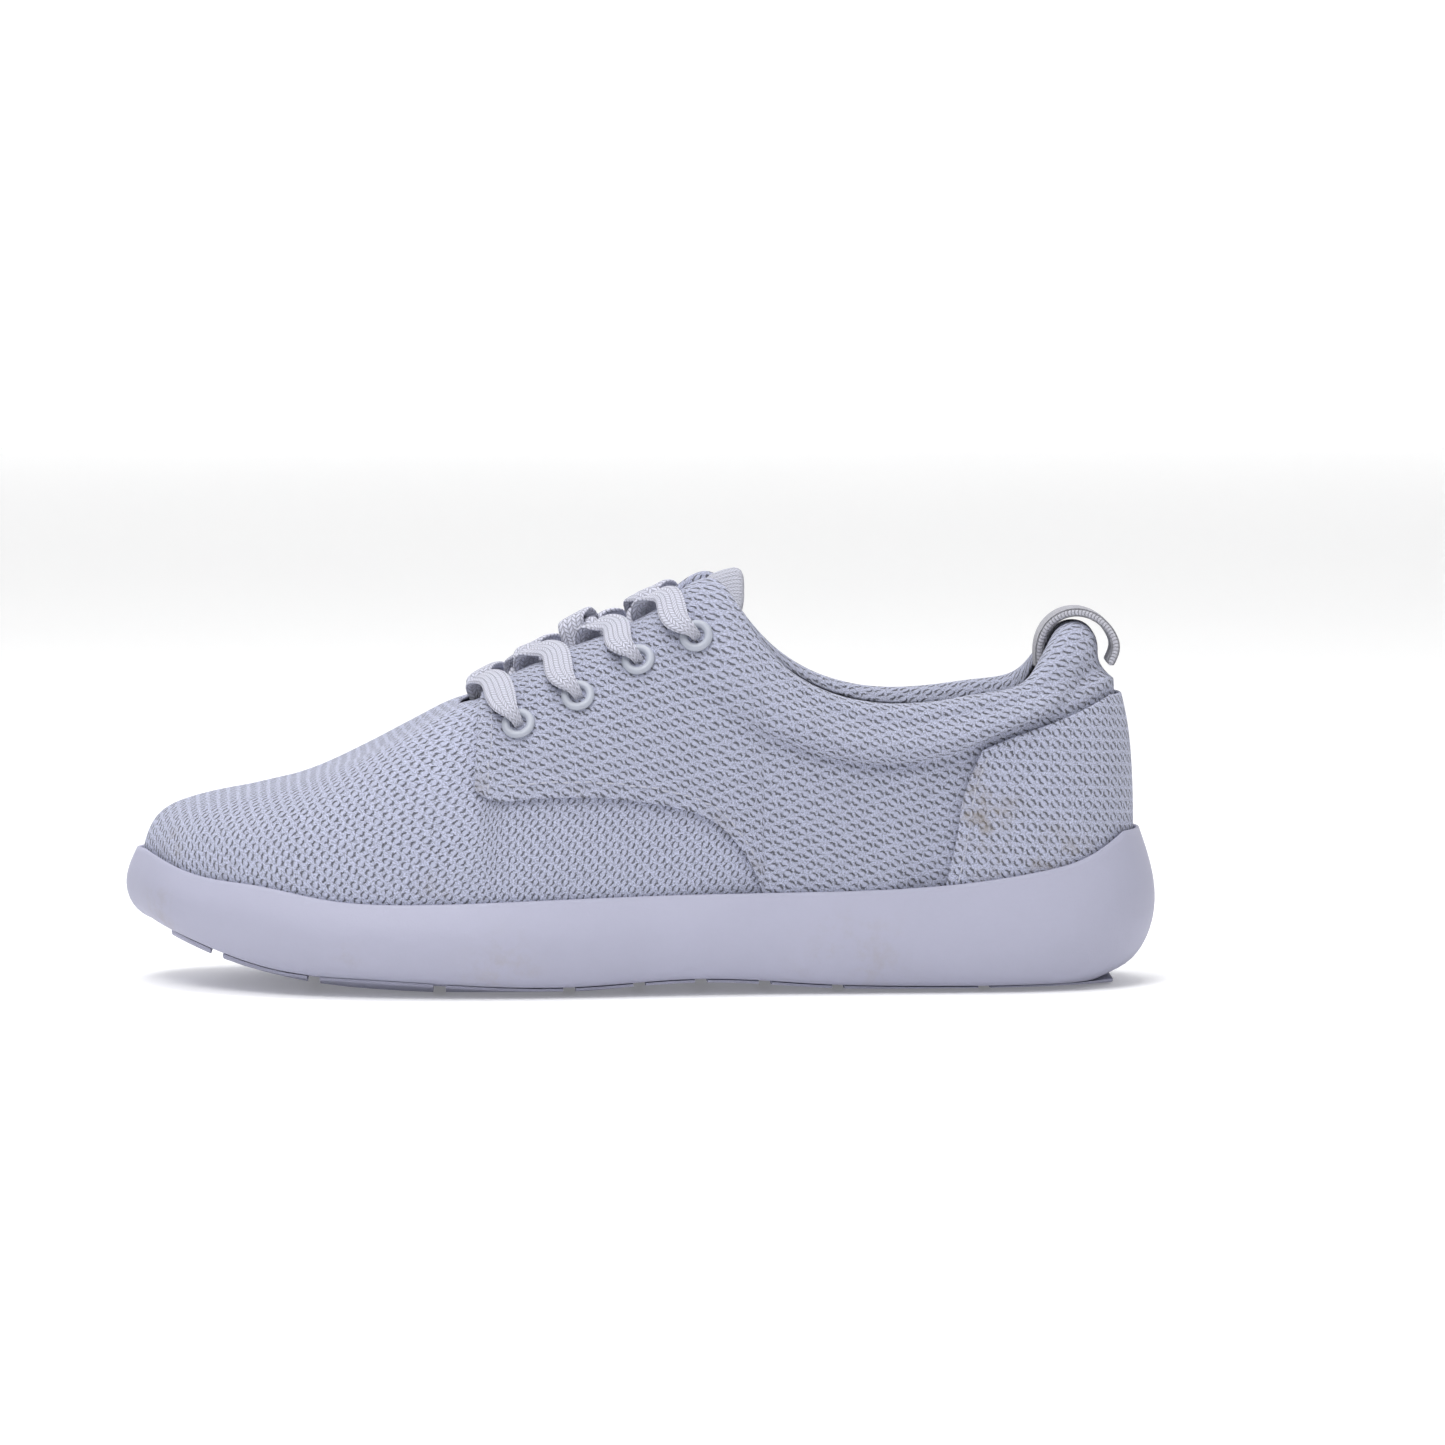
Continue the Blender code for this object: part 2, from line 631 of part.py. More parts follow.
def make_heel_panel():
    rows = 5
    half = STATIONS[STATIONS > column_at(100.0, -1)]
    half = np.concatenate([half[:1], half])
    grid = np.tile(half[:, None], rows)
    for j in range(rows):
        grid[0, j] = column_at(float(heel_front(26.0 + 46.0 * j / (rows - 1))), -1)
    grid = np.concatenate([grid, (2 - grid)[-2::-1]])
    v = np.linspace(0, 1, rows) * (climb_to(grid, roll_seam) - 0.05)
    shell("heel_panel", layer(grid, v, 0.3 + FABRIC), layer(grid, v, 0.3), WHITE_MESH)


def make_heel_counter():
    t = STATIONS[STATIONS > 0.8]
    s = np.concatenate([t, (2 - t)[-2::-1]])
    grid, v = quarter_rows(s, np.zeros_like(s))
    grid, v = grid[:, :5], v[:, :5]
    shell("heel_counter", layer(grid, v, -1.95), layer(grid, v, -3.4), LINING_GREY)


def make_collar_foam():
    """The foam roll inside the padded collar."""
    t = STATIONS[STATIONS > column_at(38.0, -1)]
    rings = []
    for s in np.concatenate([t, (2 - t)[-2::-1]]):
        _, v = quarter_rows(np.array([s]), np.zeros(1))
        roll = v[0, 6:10]
        ring = [layer(s, climb, -0.7) for climb in (*roll, *v[0, 10:13])]
        for climb in (0.97, *roll[2::-1]):
            depth = float(lining_depth(np.array(s), np.array(climb)))
            ring.append(layer(s, climb, LINING + 0.5 - depth, False))
        rings.append(ring)
    loft("collar_foam", rings, LINING_GREY)


# Tongue.

def throat_column(x, side=-1):
    """The column whose top edge is at `x`."""
    low, high = FRONT_COLUMN - 0.1, SIDE_COLUMN
    for _ in range(40):
        middle = (low + high) / 2
        here = last_surface(mirror(middle, side), 1.0)[0]
        low, high = (middle, high) if here < x else (low, middle)
    return mirror(low, side)


def tongue_section(t, overhang=0.0):
    """Section of the arch that closes the throat at place t, moved `overhang` past the top edge."""
    lateral, medial = (
        [layer(mirror(t, side), v, -TONGUE_DEPTH) for v in (0.74, 0.86, 0.96)] for side in (-1, 1)
    )
    middle = (lateral[-1] + medial[-1]) / 2
    dip = 7.0 * (1 - float(ramp(t, FRONT_COLUMN, FRONT_COLUMN + 0.06)))
    middle[2] = float(top_loop(t)[2]) + TONGUE_CROWN - dip
    chain = [*lateral, middle, *medial[::-1]]
    section = spline(chain, chord_keys(chain))(np.linspace(0, 1, 9))
    rise = overhang * (0.5 - 0.025 * overhang) if overhang > 0 else 0.62 * overhang
    section += (overhang, 0.0, rise)
    section[:, 1] *= 1 - 0.012 * abs(overhang)
    return section


def tongue_grid(depth):
    """Grid over the tongue, `depth` below its outer face."""
    places = np.linspace(FRONT_COLUMN + 0.003, ANKLE_COLUMN, 9)
    sections = [tongue_section(places[0], reach) for reach in (-14.0, -7.0)]
    sections += [tongue_section(t) for t in places]
    sections += [tongue_section(places[-1], reach) for reach in (5.0, 10.0)]
    grid = np.array(sections)
    normal = unit(np.cross(np.gradient(grid, axis=0), np.gradient(grid, axis=1)))
    normal *= np.sign(normal[..., 2:3])
    return grid - normal * depth


def make_tongue():
    shell("tongue_cover", tongue_grid(0.0), tongue_grid(1.0), WHITE_MESH)
    shell("tongue_foam", tongue_grid(1.4), tongue_grid(4.2), LINING_GREY)
    shell("tongue_lining", tongue_grid(4.7), tongue_grid(5.5), LINING_GREY)


# Eyelets, laces and the pull tab.

def eyelet_place(number, side):
    """Centre, normal and direction towards the throat of one eyelet, with its column and climb."""
    s, v = find_on_last(*EYELETS[number], side)
    normal, climb = directions(s, v)
    return last_surface(s, v), normal, climb, s, v


def make_eyelets(side, word):
    """Makes the eyelets of one side, and returns the cutters for the fabric round them."""
    cutters = []
    top = 0.2 + FABRIC + 0.3
    foot = -3.0 - 0.8
    profile = (
        (EYELET_HOLE, top + 0.5), (EYELET_HOLE + 0.5, top + 1.0), (EYELET_FLANGE - 0.7, top + 0.9),
        (EYELET_FLANGE, top), (EYELET_BARREL, top), (EYELET_BARREL, foot), (EYELET_FOOT, foot),
        (EYELET_FOOT - 0.4, foot - 0.6), (EYELET_HOLE, foot - 0.6),
    )
    for number in range(len(EYELETS)):
        place, normal, *_ = eyelet_place(number, side)
        turned(f"eyelet_{word}_{number + 1}", profile, place, normal, PLASTIC)
        hole = ((0.0, -8.0), (FABRIC_HOLE, -8.0), (FABRIC_HOLE, 8.0), (0.0, 8.0))
        cutters.append(turned(f"hole_{word}_{number + 1}", hole, place, normal, PLASTIC))
    return cutters


THROAT = np.array((0.88, 0.0, 0.47))          # direction of the row of eyelets


def over_tongue(x, share, height):
    """A point `height` above the tongue at x; share -1 is its lateral edge, 1 its medial edge."""
    section = tongue_section(float(throat_column(x)))
    point = spline(section, np.linspace(-1, 1, 9))(share)
    return point + height * unit(np.array([-0.47, 0.9 * share, 0.88]))


def through_eyelet(number, side, crest_x, leave_x):
    """Route from the throat's edge down through one eyelet, and back under the fabric."""
    place, normal, climb, s, v = eyelet_place(number, side)
    crest = throat_column(crest_x, side)
    above = layer(crest, 1.25, 3.9)
    toward = unit(above - place - normal * np.dot(above - place, normal))
    route = [
        (layer(crest, 1.52, 4.0), LACE_WIDTH, LACE_THICKNESS),
        (above, LACE_WIDTH, LACE_THICKNESS),
        (layer(0.55 * crest + 0.45 * s, 0.69 + 0.45 * v, 4.3), LACE_WIDTH - 0.4, LACE_THICKNESS),
        (place + 5.4 * toward + 4.2 * normal, 6.6, 1.6),
        (place + 3.0 * toward + 4.8 * normal, 4.8, 1.7),
        (place + 1.0 * toward + 3.9 * normal, 3.3, 1.8),
        (place + 0.1 * toward + 2.0 * normal, 3.0, 1.8),
        (place - 1.0 * normal, 3.0, 1.8),
        (place - 3.6 * normal, 3.0, 1.8),
    ]
    if leave_x is None:
        return route
    leave = throat_column(leave_x, side)
    return route + [
        (place + 0.7 * climb - 5.4 * normal, 3.6, 1.7),
        (place + 3.0 * climb - 6.5 * normal, 5.0, 1.5),
        (layer(0.5 * leave + 0.5 * s, 0.5 * v + 0.47, -6.4), 7.0, 1.4),
        (layer(leave, 1.0, -6.5), LACE_WIDTH, LACE_THICKNESS),
        (over_tongue(leave_x + 0.6, 0.36 * side, 2.6), LACE_WIDTH, LACE_THICKNESS),
        (over_tongue(leave_x + 1.4, 0.24 * side, 2.6), LACE_WIDTH, LACE_THICKNESS),
    ]


def lace_tail(side):
    """Route of one tucked tail: down the inside of the quarter and over the insole."""
    place, normal, climb, s, v = eyelet_place(3, side)
    route = [(place - 0.7 * climb - 5.4 * normal, 3.6, 1.7, THROAT)]
    route.append((place - 3.4 * climb - 6.3 * normal, 5.0, 1.5, THROAT))
    for k in (0.86, 0.7, 0.54, 0.38, 0.26):
        route.append((layer(s, k * v, -5.0, False), LACE_WIDTH, LACE_THICKNESS, THROAT))
    above = 0.4 + BOARD + CLEARANCE + INSOLE + 2.6
    for x, y, lift, turn in ((18, 27, 1.8, 0), (21, 18, 0.4, 25), (30, 10, 0.0, 60), (44, 7, 0.0, 85),
                             (60, 7, 0.0, 90), (80, 8, 0.0, 90), (100, 9, 0.0, 90)):
        across = np.array([math.cos(math.radians(turn)), side * math.sin(math.radians(turn)), 0.0])
        point = np.array([x, side * y, footbed_height(x) + above + lift])
        route.append((point, LACE_WIDTH, LACE_THICKNESS, across))
    return route


def lace_half(side):
    """Half of the lace, from the middle of its first bar to one tucked end, starting on `side`."""
    route = [(over_tongue(-45.5, 0.0, 7.0), LACE_WIDTH, LACE_THICKNESS)]
    crest_x = -46.0
    for number, (x, _) in enumerate(EYELETS):
        last = number == len(EYELETS) - 1
        route += through_eyelet(number, side, crest_x, None if last else x - 3.5)
        if not last:
            height = 4.6 if (side < 0) == (number % 2 == 0) else 7.4
            height += 1.4 * (number == 1)
            for step in (-1, 0, 1):
                middle = over_tongue(x + 0.5 + 1.6 * step, -0.1 * side * step, height)
                route.append((middle, LACE_WIDTH, LACE_THICKNESS))
            crest_x = EYELETS[number + 1][0] - 14.0
            side = -side
    return [(*stop, THROAT) for stop in route] + lace_tail(side)


def lace_stations():
    """Centre, width, thickness and width direction along the whole lace."""
    one, other = lace_half(-1), lace_half(1)
    stops = one[:0:-1] + other
    values = np.array([[*point, width, thick, *across] for point, width, thick, across in stops])
    keys = chord_keys(values[:, :3])
    curve = spline(values, keys)
    fine = curve(np.linspace(0, 1, 6000))
    lengths = np.concatenate([[0], np.cumsum(np.linalg.norm(np.diff(fine[:, :3], axis=0), axis=1))])
    spare = (lengths[-1] - LACE_LENGTH) / 2
    places = np.interp(keys, np.linspace(0, 1, 6000), lengths)
    inside = places[(places > spare + 3) & (places < lengths[-1] - spare - 3)]
    gaps = [(a + b) / 2 for a, b in zip(inside, inside[1:]) if b - a > 7.5]
    chosen = np.sort(np.concatenate([[spare], inside, gaps, [lengths[-1] - spare]]))
    return np.stack([np.interp(chosen, lengths, column) for column in fine.T], -1)


def make_lace():
    stations = lace_stations()
    centre = stations[:, :3]
    travel = unit(np.gradient(centre, axis=0))
    across = stations[:, 5:]
    across = unit(across - (across * travel).sum(-1, keepdims=True) * travel)
    up = np.cross(travel, across)
    wide, thick = stations[:, 3:4] / 2, stations[:, 4:5] / 2
    outline_points = ((1.0, 0.0), (0.72, 1.0), (-0.72, 1.0), (-1.0, 0.0), (-0.72, -1.0), (0.72, -1.0))
    rings = [centre + across * wide * a + up * thick * b for a, b in outline_points]
    loft("lace", np.stack(rings, 1), WHITE_MESH)
    profile = ((0.0, 0.0), (1.8, 0.0), (1.8, AGLET_LENGTH), (0.0, AGLET_LENGTH))
    for word, end, way in (("first", 0, -travel[0]), ("second", -1, travel[-1])):
        turned(f"aglet_{word}", profile, centre[end] + way * CLEARANCE, way, PLASTIC, 8)


def make_pull_tab():
    """A folded strap over the back of the collar, sewn at its two ends."""
    path = (
        (114.0, 90.0), (114.0, 98.0), (117.0, 104.2), (121.8, 107.4), (126.8, 108.0), (132.0, 106.2),
        (136.6, 101.6), (138.2, 96.6), (137.2, 93.0), (136.2, 91.0),
    )
    line = spline(path, chord_keys(path))(np.linspace(0, 1, 19))
    tangent = unit(np.gradient(line, axis=0))
    inside = line + TAB_THICKNESS * np.stack([tangent[:, 1], -tangent[:, 0]], -1)
    faces = []
    for side_line in (line, inside):
        faces.append(np.array([[(x, y, z) for y in (-TAB_WIDTH / 2, 0.0, TAB_WIDTH / 2)]
                               for x, z in side_line]))
    shell("pull_tab", *faces, LINING_GREY)


def clear_scene():
    for old in list(bpy.data.objects):
        bpy.data.objects.remove(old)


def main():
    clear_scene()
    make_midsole()
    make_outsole()
    make_footbed_layer("strobel_board", 0.4, BOARD, 5.4, LINING_GREY)
    make_footbed_layer("insole", 0.4 + BOARD + CLEARANCE, INSOLE, 5.8, WHITE_MESH, rise=2.0)
    make_vamp()
    make_toe_puff()
    make_vamp_lining()
    for side, word in ((-1, "lateral"), (1, "medial")):
        holes = make_eyelets(side, word)
        make_quarter(side, word, holes)
        make_quarter_lining(side, word, holes)
        make_eyestay(side, word, holes)
    make_heel_panel()
    make_heel_counter()
    make_collar_foam()
    make_tongue()
    make_lace()
    make_pull_tab()


main()
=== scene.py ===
"""Looks of the running shoe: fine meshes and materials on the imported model's bodies.

The surface code works in millimetres and repeats part.py's tables, so every fine piece lies where
its CAD solid does. Meshes are made in metres.
"""

import math

import bmesh
import bpy
import numpy as np
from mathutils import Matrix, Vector


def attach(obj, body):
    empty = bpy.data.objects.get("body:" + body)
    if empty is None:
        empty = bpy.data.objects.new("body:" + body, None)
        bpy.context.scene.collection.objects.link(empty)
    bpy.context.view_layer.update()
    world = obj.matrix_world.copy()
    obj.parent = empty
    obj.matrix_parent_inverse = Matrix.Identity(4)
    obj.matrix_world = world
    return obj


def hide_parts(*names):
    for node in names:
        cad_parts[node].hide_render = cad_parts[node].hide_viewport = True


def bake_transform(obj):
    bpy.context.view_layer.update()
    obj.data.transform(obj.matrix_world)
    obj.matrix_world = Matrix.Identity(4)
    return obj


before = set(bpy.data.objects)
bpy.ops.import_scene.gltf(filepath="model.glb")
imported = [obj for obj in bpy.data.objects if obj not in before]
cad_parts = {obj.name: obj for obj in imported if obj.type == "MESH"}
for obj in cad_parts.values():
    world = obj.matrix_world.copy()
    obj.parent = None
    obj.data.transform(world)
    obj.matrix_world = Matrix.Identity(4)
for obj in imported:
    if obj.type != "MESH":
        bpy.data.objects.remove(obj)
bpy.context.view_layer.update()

FABRIC = 1.2
LINING = 0.8
CLEARANCE = 0.35
TONGUE_DEPTH = 8.8
TONGUE_CROWN = -1.5
LIP = 1.2
BOARD = 1.6
INSOLE = 4.0
TONGUE_THICKNESS = 5.2
TAB_WIDTH = 16.0
TAB_THICKNESS = 2.4
EYELET_HOLE = 2.35              # radii of the eyelet
EYELET_BARREL = 2.8
HEM_END = 33.0                  # x at which the quarter's lower edge meets the midsole
HEEL_EDGE_HEIGHTS = (26.0, 72.0)  # ends of the heel panel's front edges
VAMP_TOP = 0.975                # climb at which the vamp's front ends, at the throat

FOAM = (0.40, 0.403, 0.515)
MESH = (0.515, 0.54, 0.705)
# Stains: centre, radius and strength.
STAINS_SOLE = (
    (-85, -54, 11, 9, 0.5), (-40, -54, 6, 20, 0.25), (60, -42, 6, 26, 0.25), (-140, -14, 20, 14, 0.3),
)
STAINS_HEEL = (
    (97, -36, 50, 17, 0.7), (104, -36, 33, 15, 0.6), (120, -31, 36, 17, 0.5), (90, -37, 62, 12, 0.45),
)
STAINS_TOE = (
    (-139, -12, 40, 11, 0.65), (-126, -28, 34, 10, 0.6), (-100, -44, 31, 9, 0.35), (-60, -50, 30, 9, 0.3),
)
STAINS_SIDE = (
    (-20, -46, 56, 7, 0.35), (20, -41, 48, 8, 0.4), (30, -40, 34, 8, 0.45), (-46, -41, 60, 6, 0.35),
)

# One row per column of the last: outline of the sole (x, lateral y, medial y), then the top edge
# of the upper (x, half width, height of its crest), then the radius of the padded edge.
ROWS = (
    (-149.0, 10.0, 10.0, -50.5, 0.0, 85.3, 1.0),
    (-146.4, 0.5, 19.8, -50.4, 2.0, 85.3, 1.0),
    (-140.0, -13.5, 30.5, -50.1, 4.0, 85.2, 1.0),
    (-128.0, -27.0, 40.5, -49.7, 5.8, 85.1, 1.0),
    (-110.0, -39.5, 48.3, -49.2, 7.4, 85.0, 1.0),
    (-88.0, -48.5, 52.6, -48.5, 8.8, 84.9, 1.0),
    (-66.0, -52.6, 53.5, -47.5, 10.0, 85.0, 1.0),
    (-50.5, -53.5, 52.9, -45.6, 11.0, 86.0, 1.0),
    (-38.0, -53.1, 51.6, -37.0, 11.8, 90.6, 1.0),
    (-15.0, -50.5, 47.4, -14.0, 12.8, 100.8, 1.0),
    (9.0, -46.9, 42.6, 8.8, 14.4, 112.6, 1.0),
    (22.0, -45.1, 40.9, 21.5, 17.6, 118.0, 1.2),
    (31.0, -44.0, 40.1, 29.5, 25.0, 108.0, 2.4),
    (44.0, -42.8, 39.6, 41.5, 31.0, 94.6, 3.8),
    (75.0, -41.0, 39.6, 74.0, 32.8, 83.8, 4.8),
    (100.0, -39.8, 39.3, 98.0, 31.0, 87.2, 4.8),
    (122.0, -35.2, 35.2, 114.5, 25.6, 92.6, 4.8),
    (138.0, -25.6, 25.6, 123.8, 16.6, 102.2, 4.8),
    (146.4, -13.2, 13.2, 128.2, 8.2, 106.0, 4.8),
    (149.0, 0.0, 0.0, 129.4, 0.0, 106.6, 4.8),
)

# Side view of the toe's centre line, from the footbed to the front of the throat (x, z).
TOE_LINE = (
    (-143.0, 28.5), (-142.4, 40.0), (-138.6, 48.3), (-130.5, 53.1), (-116.5, 56.7),
    (-103.8, 59.6), (-88.6, 64.0), (-73.2, 69.4), (-60.6, 76.4), (-50.5, 84.3),
)

# Heights along the shoe (x, z).
RIM = (
    (-147.0, 38.3), (-140.3, 35.4), (-129.4, 32.4), (-114.0, 31.0), (-92.3, 27.6), (-68.0, 26.5),
    (-36.0, 27.4), (34.0, 29.0), (86.0, 30.7), (115.6, 34.5), (130.0, 38.0), (143.0, 44.5),
)
FOOTBED = (
    (-146.0, 28.5), (-128.0, 24.5), (-100.0, 20.5), (-60.0, 18.5), (0.0, 19.0), (60.0, 22.0),
    (100.0, 23.2), (146.0, 24.0),
)
SOLE_EDGE = (
    (-137.0, 16.6), (-119.4, 10.6), (-105.0, 7.0), (-80.0, 5.2), (-56.0, 3.9), (-20.0, 2.7),
    (15.0, 4.4), (34.0, 3.7), (52.0, 2.4), (66.0, 1.9), (134.0, 1.9),
)
SOLE_CENTRE = (
    (-137.0, 16.2), (-120.0, 9.6), (-105.0, 5.9), (-90.0, 3.2), (-75.0, 1.9), (-15.0, 1.9),
    (5.0, 3.6), (32.0, 3.9), (50.0, 2.5), (64.0, 1.9), (134.0, 1.9),
)
ROLL_SEAM = (
    (-55.0, 71.0), (-37.0, 76.5), (-14.0, 82.5), (3.0, 87.0), (16.4, 87.0), (22.5, 82.0),
    (30.6, 76.6), (40.1, 71.9), (49.5, 68.5), (69.4, 65.7), (88.3, 68.5), (104.0, 75.0),
    (120.5, 81.0), (133.0, 87.0),
)
QUARTER_EDGE = (
    (-56.0, 61.5), (-49.5, 59.5), (-45.0, 56.6), (-36.0, 55.7), (-4.0, 55.6), (10.7, 53.0),
    (21.0, 48.6), (27.2, 42.4), (31.8, 34.8), (36.0, 24.0), (40.0, 18.0),
)
HEEL_FRONT = ((24.0, 84.5), (41.6, 88.3), (50.1, 90.0), (58.6, 91.2), (65.3, 93.6), (72.0, 97.4))
EYELETS = ((-35.1, 76.3), (-18.2, 84.2), (-0.8, 94.2), (15.7, 101.2))     # lateral side (x, z)

# The lace's route. Each stop of its first tail has a centre and the direction across its width, and
# the last tail is that one's mirror image. Between them are the centres of all the other stops.
LACE_TAIL = np.array((
    (100, 9, 32.1, 0, 1, 0), (80, 8, 31.7, 0, 1, 0), (60, 7, 30.9, 0, 1, 0), (44, 7, 30.2, 0.09, 1, 0),
    (30, 10, 29.4, 0.5, 0.87, 0), (21, 18, 29.3, 0.91, 0.42, 0), (18, 27, 30.6, 1, 0, 0),
))
LACE_PATH = np.array((
    (15, 30.1, 47.4), (15.1, 29.4, 58.2), (15.3, 28.1, 71.3), (15.6, 26.4, 82.8), (16, 24.4, 92.6),
    (16.7, 22.3, 95.9), (16.5, 22.2, 98.7), (16.3, 23.6, 100), (15.9, 26.1, 100.9), (15.3, 28.8, 101.9),
    (14.3, 30.3, 103), (12.5, 30.5, 104.3), (10.7, 29.2, 105.3), (5.3, 15.1, 113), (0.7, 10.4, 107.6),
    (2.7, 8.9, 104.4), (3.5, 1.8, 110), (1.5, -0.8, 109.3), (-0.4, -3.2, 107.9), (-0.3, -6.1, 104.1),
    (-1, -8.6, 101.8), (-1.6, -13.4, 96.4), (-0.6, -19.8, 95.1), (0.5, -22, 93.4), (0.3, -24.2, 92),
    (-0.1, -26, 92.3), (-0.6, -28.2, 93.7), (-1.3, -30.6, 95.3), (-2.3, -31.8, 96.7), (-3.9, -31.6, 98.2),
    (-5.5, -29.9, 99.1), (-9.7, -13.9, 104.7), (-15.5, -9.3, 100.5), (-14, -7.8, 97), (-15.8, -3.1, 103.2),
    (-17.3, -0.5, 103.1), (-18.8, 2, 102.1), (-17.9, 4.8, 97.3), (-18.5, 7.4, 94.9), (-19.2, 12.5, 89.2),
    (-18.4, 20.2, 87.2), (-17.6, 23.5, 83.7), (-17.8, 25.6, 82.2), (-17.9, 27.5, 82.5), (-18.1, 29.7, 83.7),
    (-18.4, 32.3, 85.2), (-19.2, 33.6, 86.7), (-20.5, 33.6, 88.4), (-22.1, 32.1, 89.7), (-27.3, 15, 97.4),
    (-33.1, 8.6, 92.8), (-31.4, 7.1, 89.5), (-31.5, 2.1, 93.4), (-33, -0.3, 92.2), (-34.6, -2.9, 90.1),
    (-34.5, -6.1, 86.2), (-35.1, -9.1, 84.2), (-35.6, -11.7, 81.6), (-34.8, -22.6, 79.2),
    (-33.9, -27.3, 75.2), (-34.1, -29.4, 73.9), (-34.4, -31.3, 74.3), (-34.9, -33.4, 75.8),
    (-35.5, -35.8, 77.5), (-36.3, -36.9, 79.1), (-37.6, -36.5, 80.9), (-38.7, -34.7, 82.1),
    (-44.2, -15.1, 89.2), (-46.7, -7.4, 85.6), (-44.6, -6.1, 82.3), (-45.2, -0.1, 83.7), (-44.6, 6.1, 82.3),
    (-46.6, 7.4, 85.6), (-44.1, 15.1, 89.3), (-38.5, 34, 82.2), (-37.3, 35.7, 80.9), (-36.2, 36, 79),
    (-35.4, 34.9, 77.4), (-35, 32.4, 75.8), (-34.6, 30.2, 74.4), (-34.4, 28.3, 74), (-34.1, 26.2, 75.4),
    (-35, 22, 79.2), (-35.6, 11.8, 81.6), (-35.1, 8.5, 84.4), (-34.4, 5.5, 86.4), (-35.9, 2.5, 92.7),
    (-34.4, -0.3, 94.6), (-32.8, -3.1, 95.7), (-31.5, -7.1, 89.5), (-33.1, -8.6, 92.8),
    (-27.3, -15.1, 97.4), (-22.2, -33.3, 89.7), (-20.7, -35, 88.5), (-19.3, -35.1, 86.8),
    (-18.5, -33.9, 85.3), (-18.1, -31.5, 83.7), (-17.7, -29.3, 82.3), (-17.5, -27.4, 82),
    (-17.3, -25.2, 83.4), (-18.2, -21.4, 87), (-19.2, -12.4, 89.2), (-18.7, -8.4, 94.1),
    (-18.1, -5.8, 96.6), (-20.2, -3.3, 104.3), (-18.7, -0.5, 105.5), (-17, 2.2, 105.9), (-13.9, 7.8, 97),
    (-15.5, 9.3, 100.5), (-9.7, 13.8, 104.8), (-5.5, 28.4, 99), (-3.8, 29.9, 98), (-2.1, 29.9, 96.5),
    (-1.2, 28.6, 95.2), (-0.7, 26.1, 93.7), (-0.3, 23.8, 92.5), (0, 21.9, 92.3), (0.2, 19.9, 93.8),
    (-0.8, 18.1, 95.3), (-1.6, 13.5, 96.4), (-0.3, 7.5, 102.9), (0.2, 4.8, 105), (-1.4, 2, 110.8),
    (0.1, -0.8, 111.7), (2, -3.6, 112.1), (2.6, -8.9, 104.4), (0.6, -10.4, 107.6), (5.4, -15.2, 113),
    (10.8, -31.3, 105.6), (12.6, -32.7, 104.6), (14.3, -32.6, 103.3), (15.3, -31.2, 102),
    (15.9, -28.6, 100.8), (16.3, -26.2, 99.8), (16.6, -24.9, 98.4), (16.7, -25.2, 95.6), (16, -27.4, 92.3),
    (15.7, -29.9, 82.6), (15.3, -31.9, 71.1), (15.1, -33.4, 58.1), (14.9, -34.2, 47.4),
))
LACE_ACROSS = (0.88, 0.0, 0.47)
LACE_FLAT = (7.8, 1.5)
# Width and thickness from the throat's edge through one eyelet and back under the fabric.
LACE_PASSAGE = (
    LACE_FLAT, LACE_FLAT, (7.4, 1.5), (6.6, 1.6), (4.8, 1.7), (3.3, 1.8), (3.0, 1.8), (3.0, 1.8),
    (3.0, 1.8), (3.6, 1.7), (5.0, 1.5), (7.0, 1.4), *(LACE_FLAT,) * 6,
)
LACE_LENGTH = 900.0
LACE_STEP = 0.6                 # between two stations of the fine lace
LACE_BLUR = 1.3                 # how far its kinks are smoothed


def spline(points, keys=None, period=None):
    """A smooth curve through `points` at `keys`; closed when `period` is given."""
    values = np.asarray(points, float)
    if keys is None:
        keys, values = values[:, 0], values[:, 1]
    keys = np.asarray(keys, float)
    values = values.reshape(len(keys), -1)
    if period:
        keys = np.append(keys, keys[0] + period)
        values = np.vstack([values, values[:1]])
    count = len(keys)
    step = np.diff(keys)
    slope = np.diff(values, axis=0) / step[:, None]
    system = np.zeros((count, count))
    right = np.zeros_like(values)
    for i in range(1, count - 1):
        system[i, i - 1:i + 2] = step[i - 1], 2 * (step[i - 1] + step[i]), step[i]
        right[i] = 6 * (slope[i] - slope[i - 1])
    if period:
        system[0, 0], system[0, -1] = 1, -1
        system[-1, [0, 1, -2, -1]] = 2 * step[0], step[0], step[-1], 2 * step[-1]
        right[-1] = 6 * (slope[0] - slope[-1])
    else:
        system[0, 0] = system[-1, -1] = 1
    bend = np.linalg.solve(system, right)

    def at(key):
        key = np.asarray(key, float)
        key = keys[0] + (key - keys[0]) % period if period else np.clip(key, keys[0], keys[-1])
        i = np.clip(np.searchsorted(keys, key, "right") - 1, 0, count - 2)
        low = ((keys[i + 1] - key) / step[i])[..., None]
        high = 1 - low
        curve = low * values[i] + high * values[i + 1]
        curve += ((low**3 - low) * bend[i] + (high**3 - high) * bend[i + 1]) * (step[i]**2)[..., None] / 6
        return curve if values.shape[1] > 1 else curve[..., 0]

    return at


def ramp(value, low, high):
    """0 below `low`, 1 above `high`, smooth between."""
    t = np.clip((np.asarray(value, float) - low) / (high - low), 0, 1)
    return t * t * (3 - 2 * t)


def unit(vector):
    return vector / np.maximum(np.linalg.norm(vector, axis=-1, keepdims=True), 1e-9)


def chord_keys(points):
    """Cumulative distance along `points`, from 0 to 1."""
    lengths = np.linalg.norm(np.diff(np.asarray(points, float), axis=0), axis=1)
    return np.concatenate([[0], np.cumsum(lengths)]) / lengths.sum()


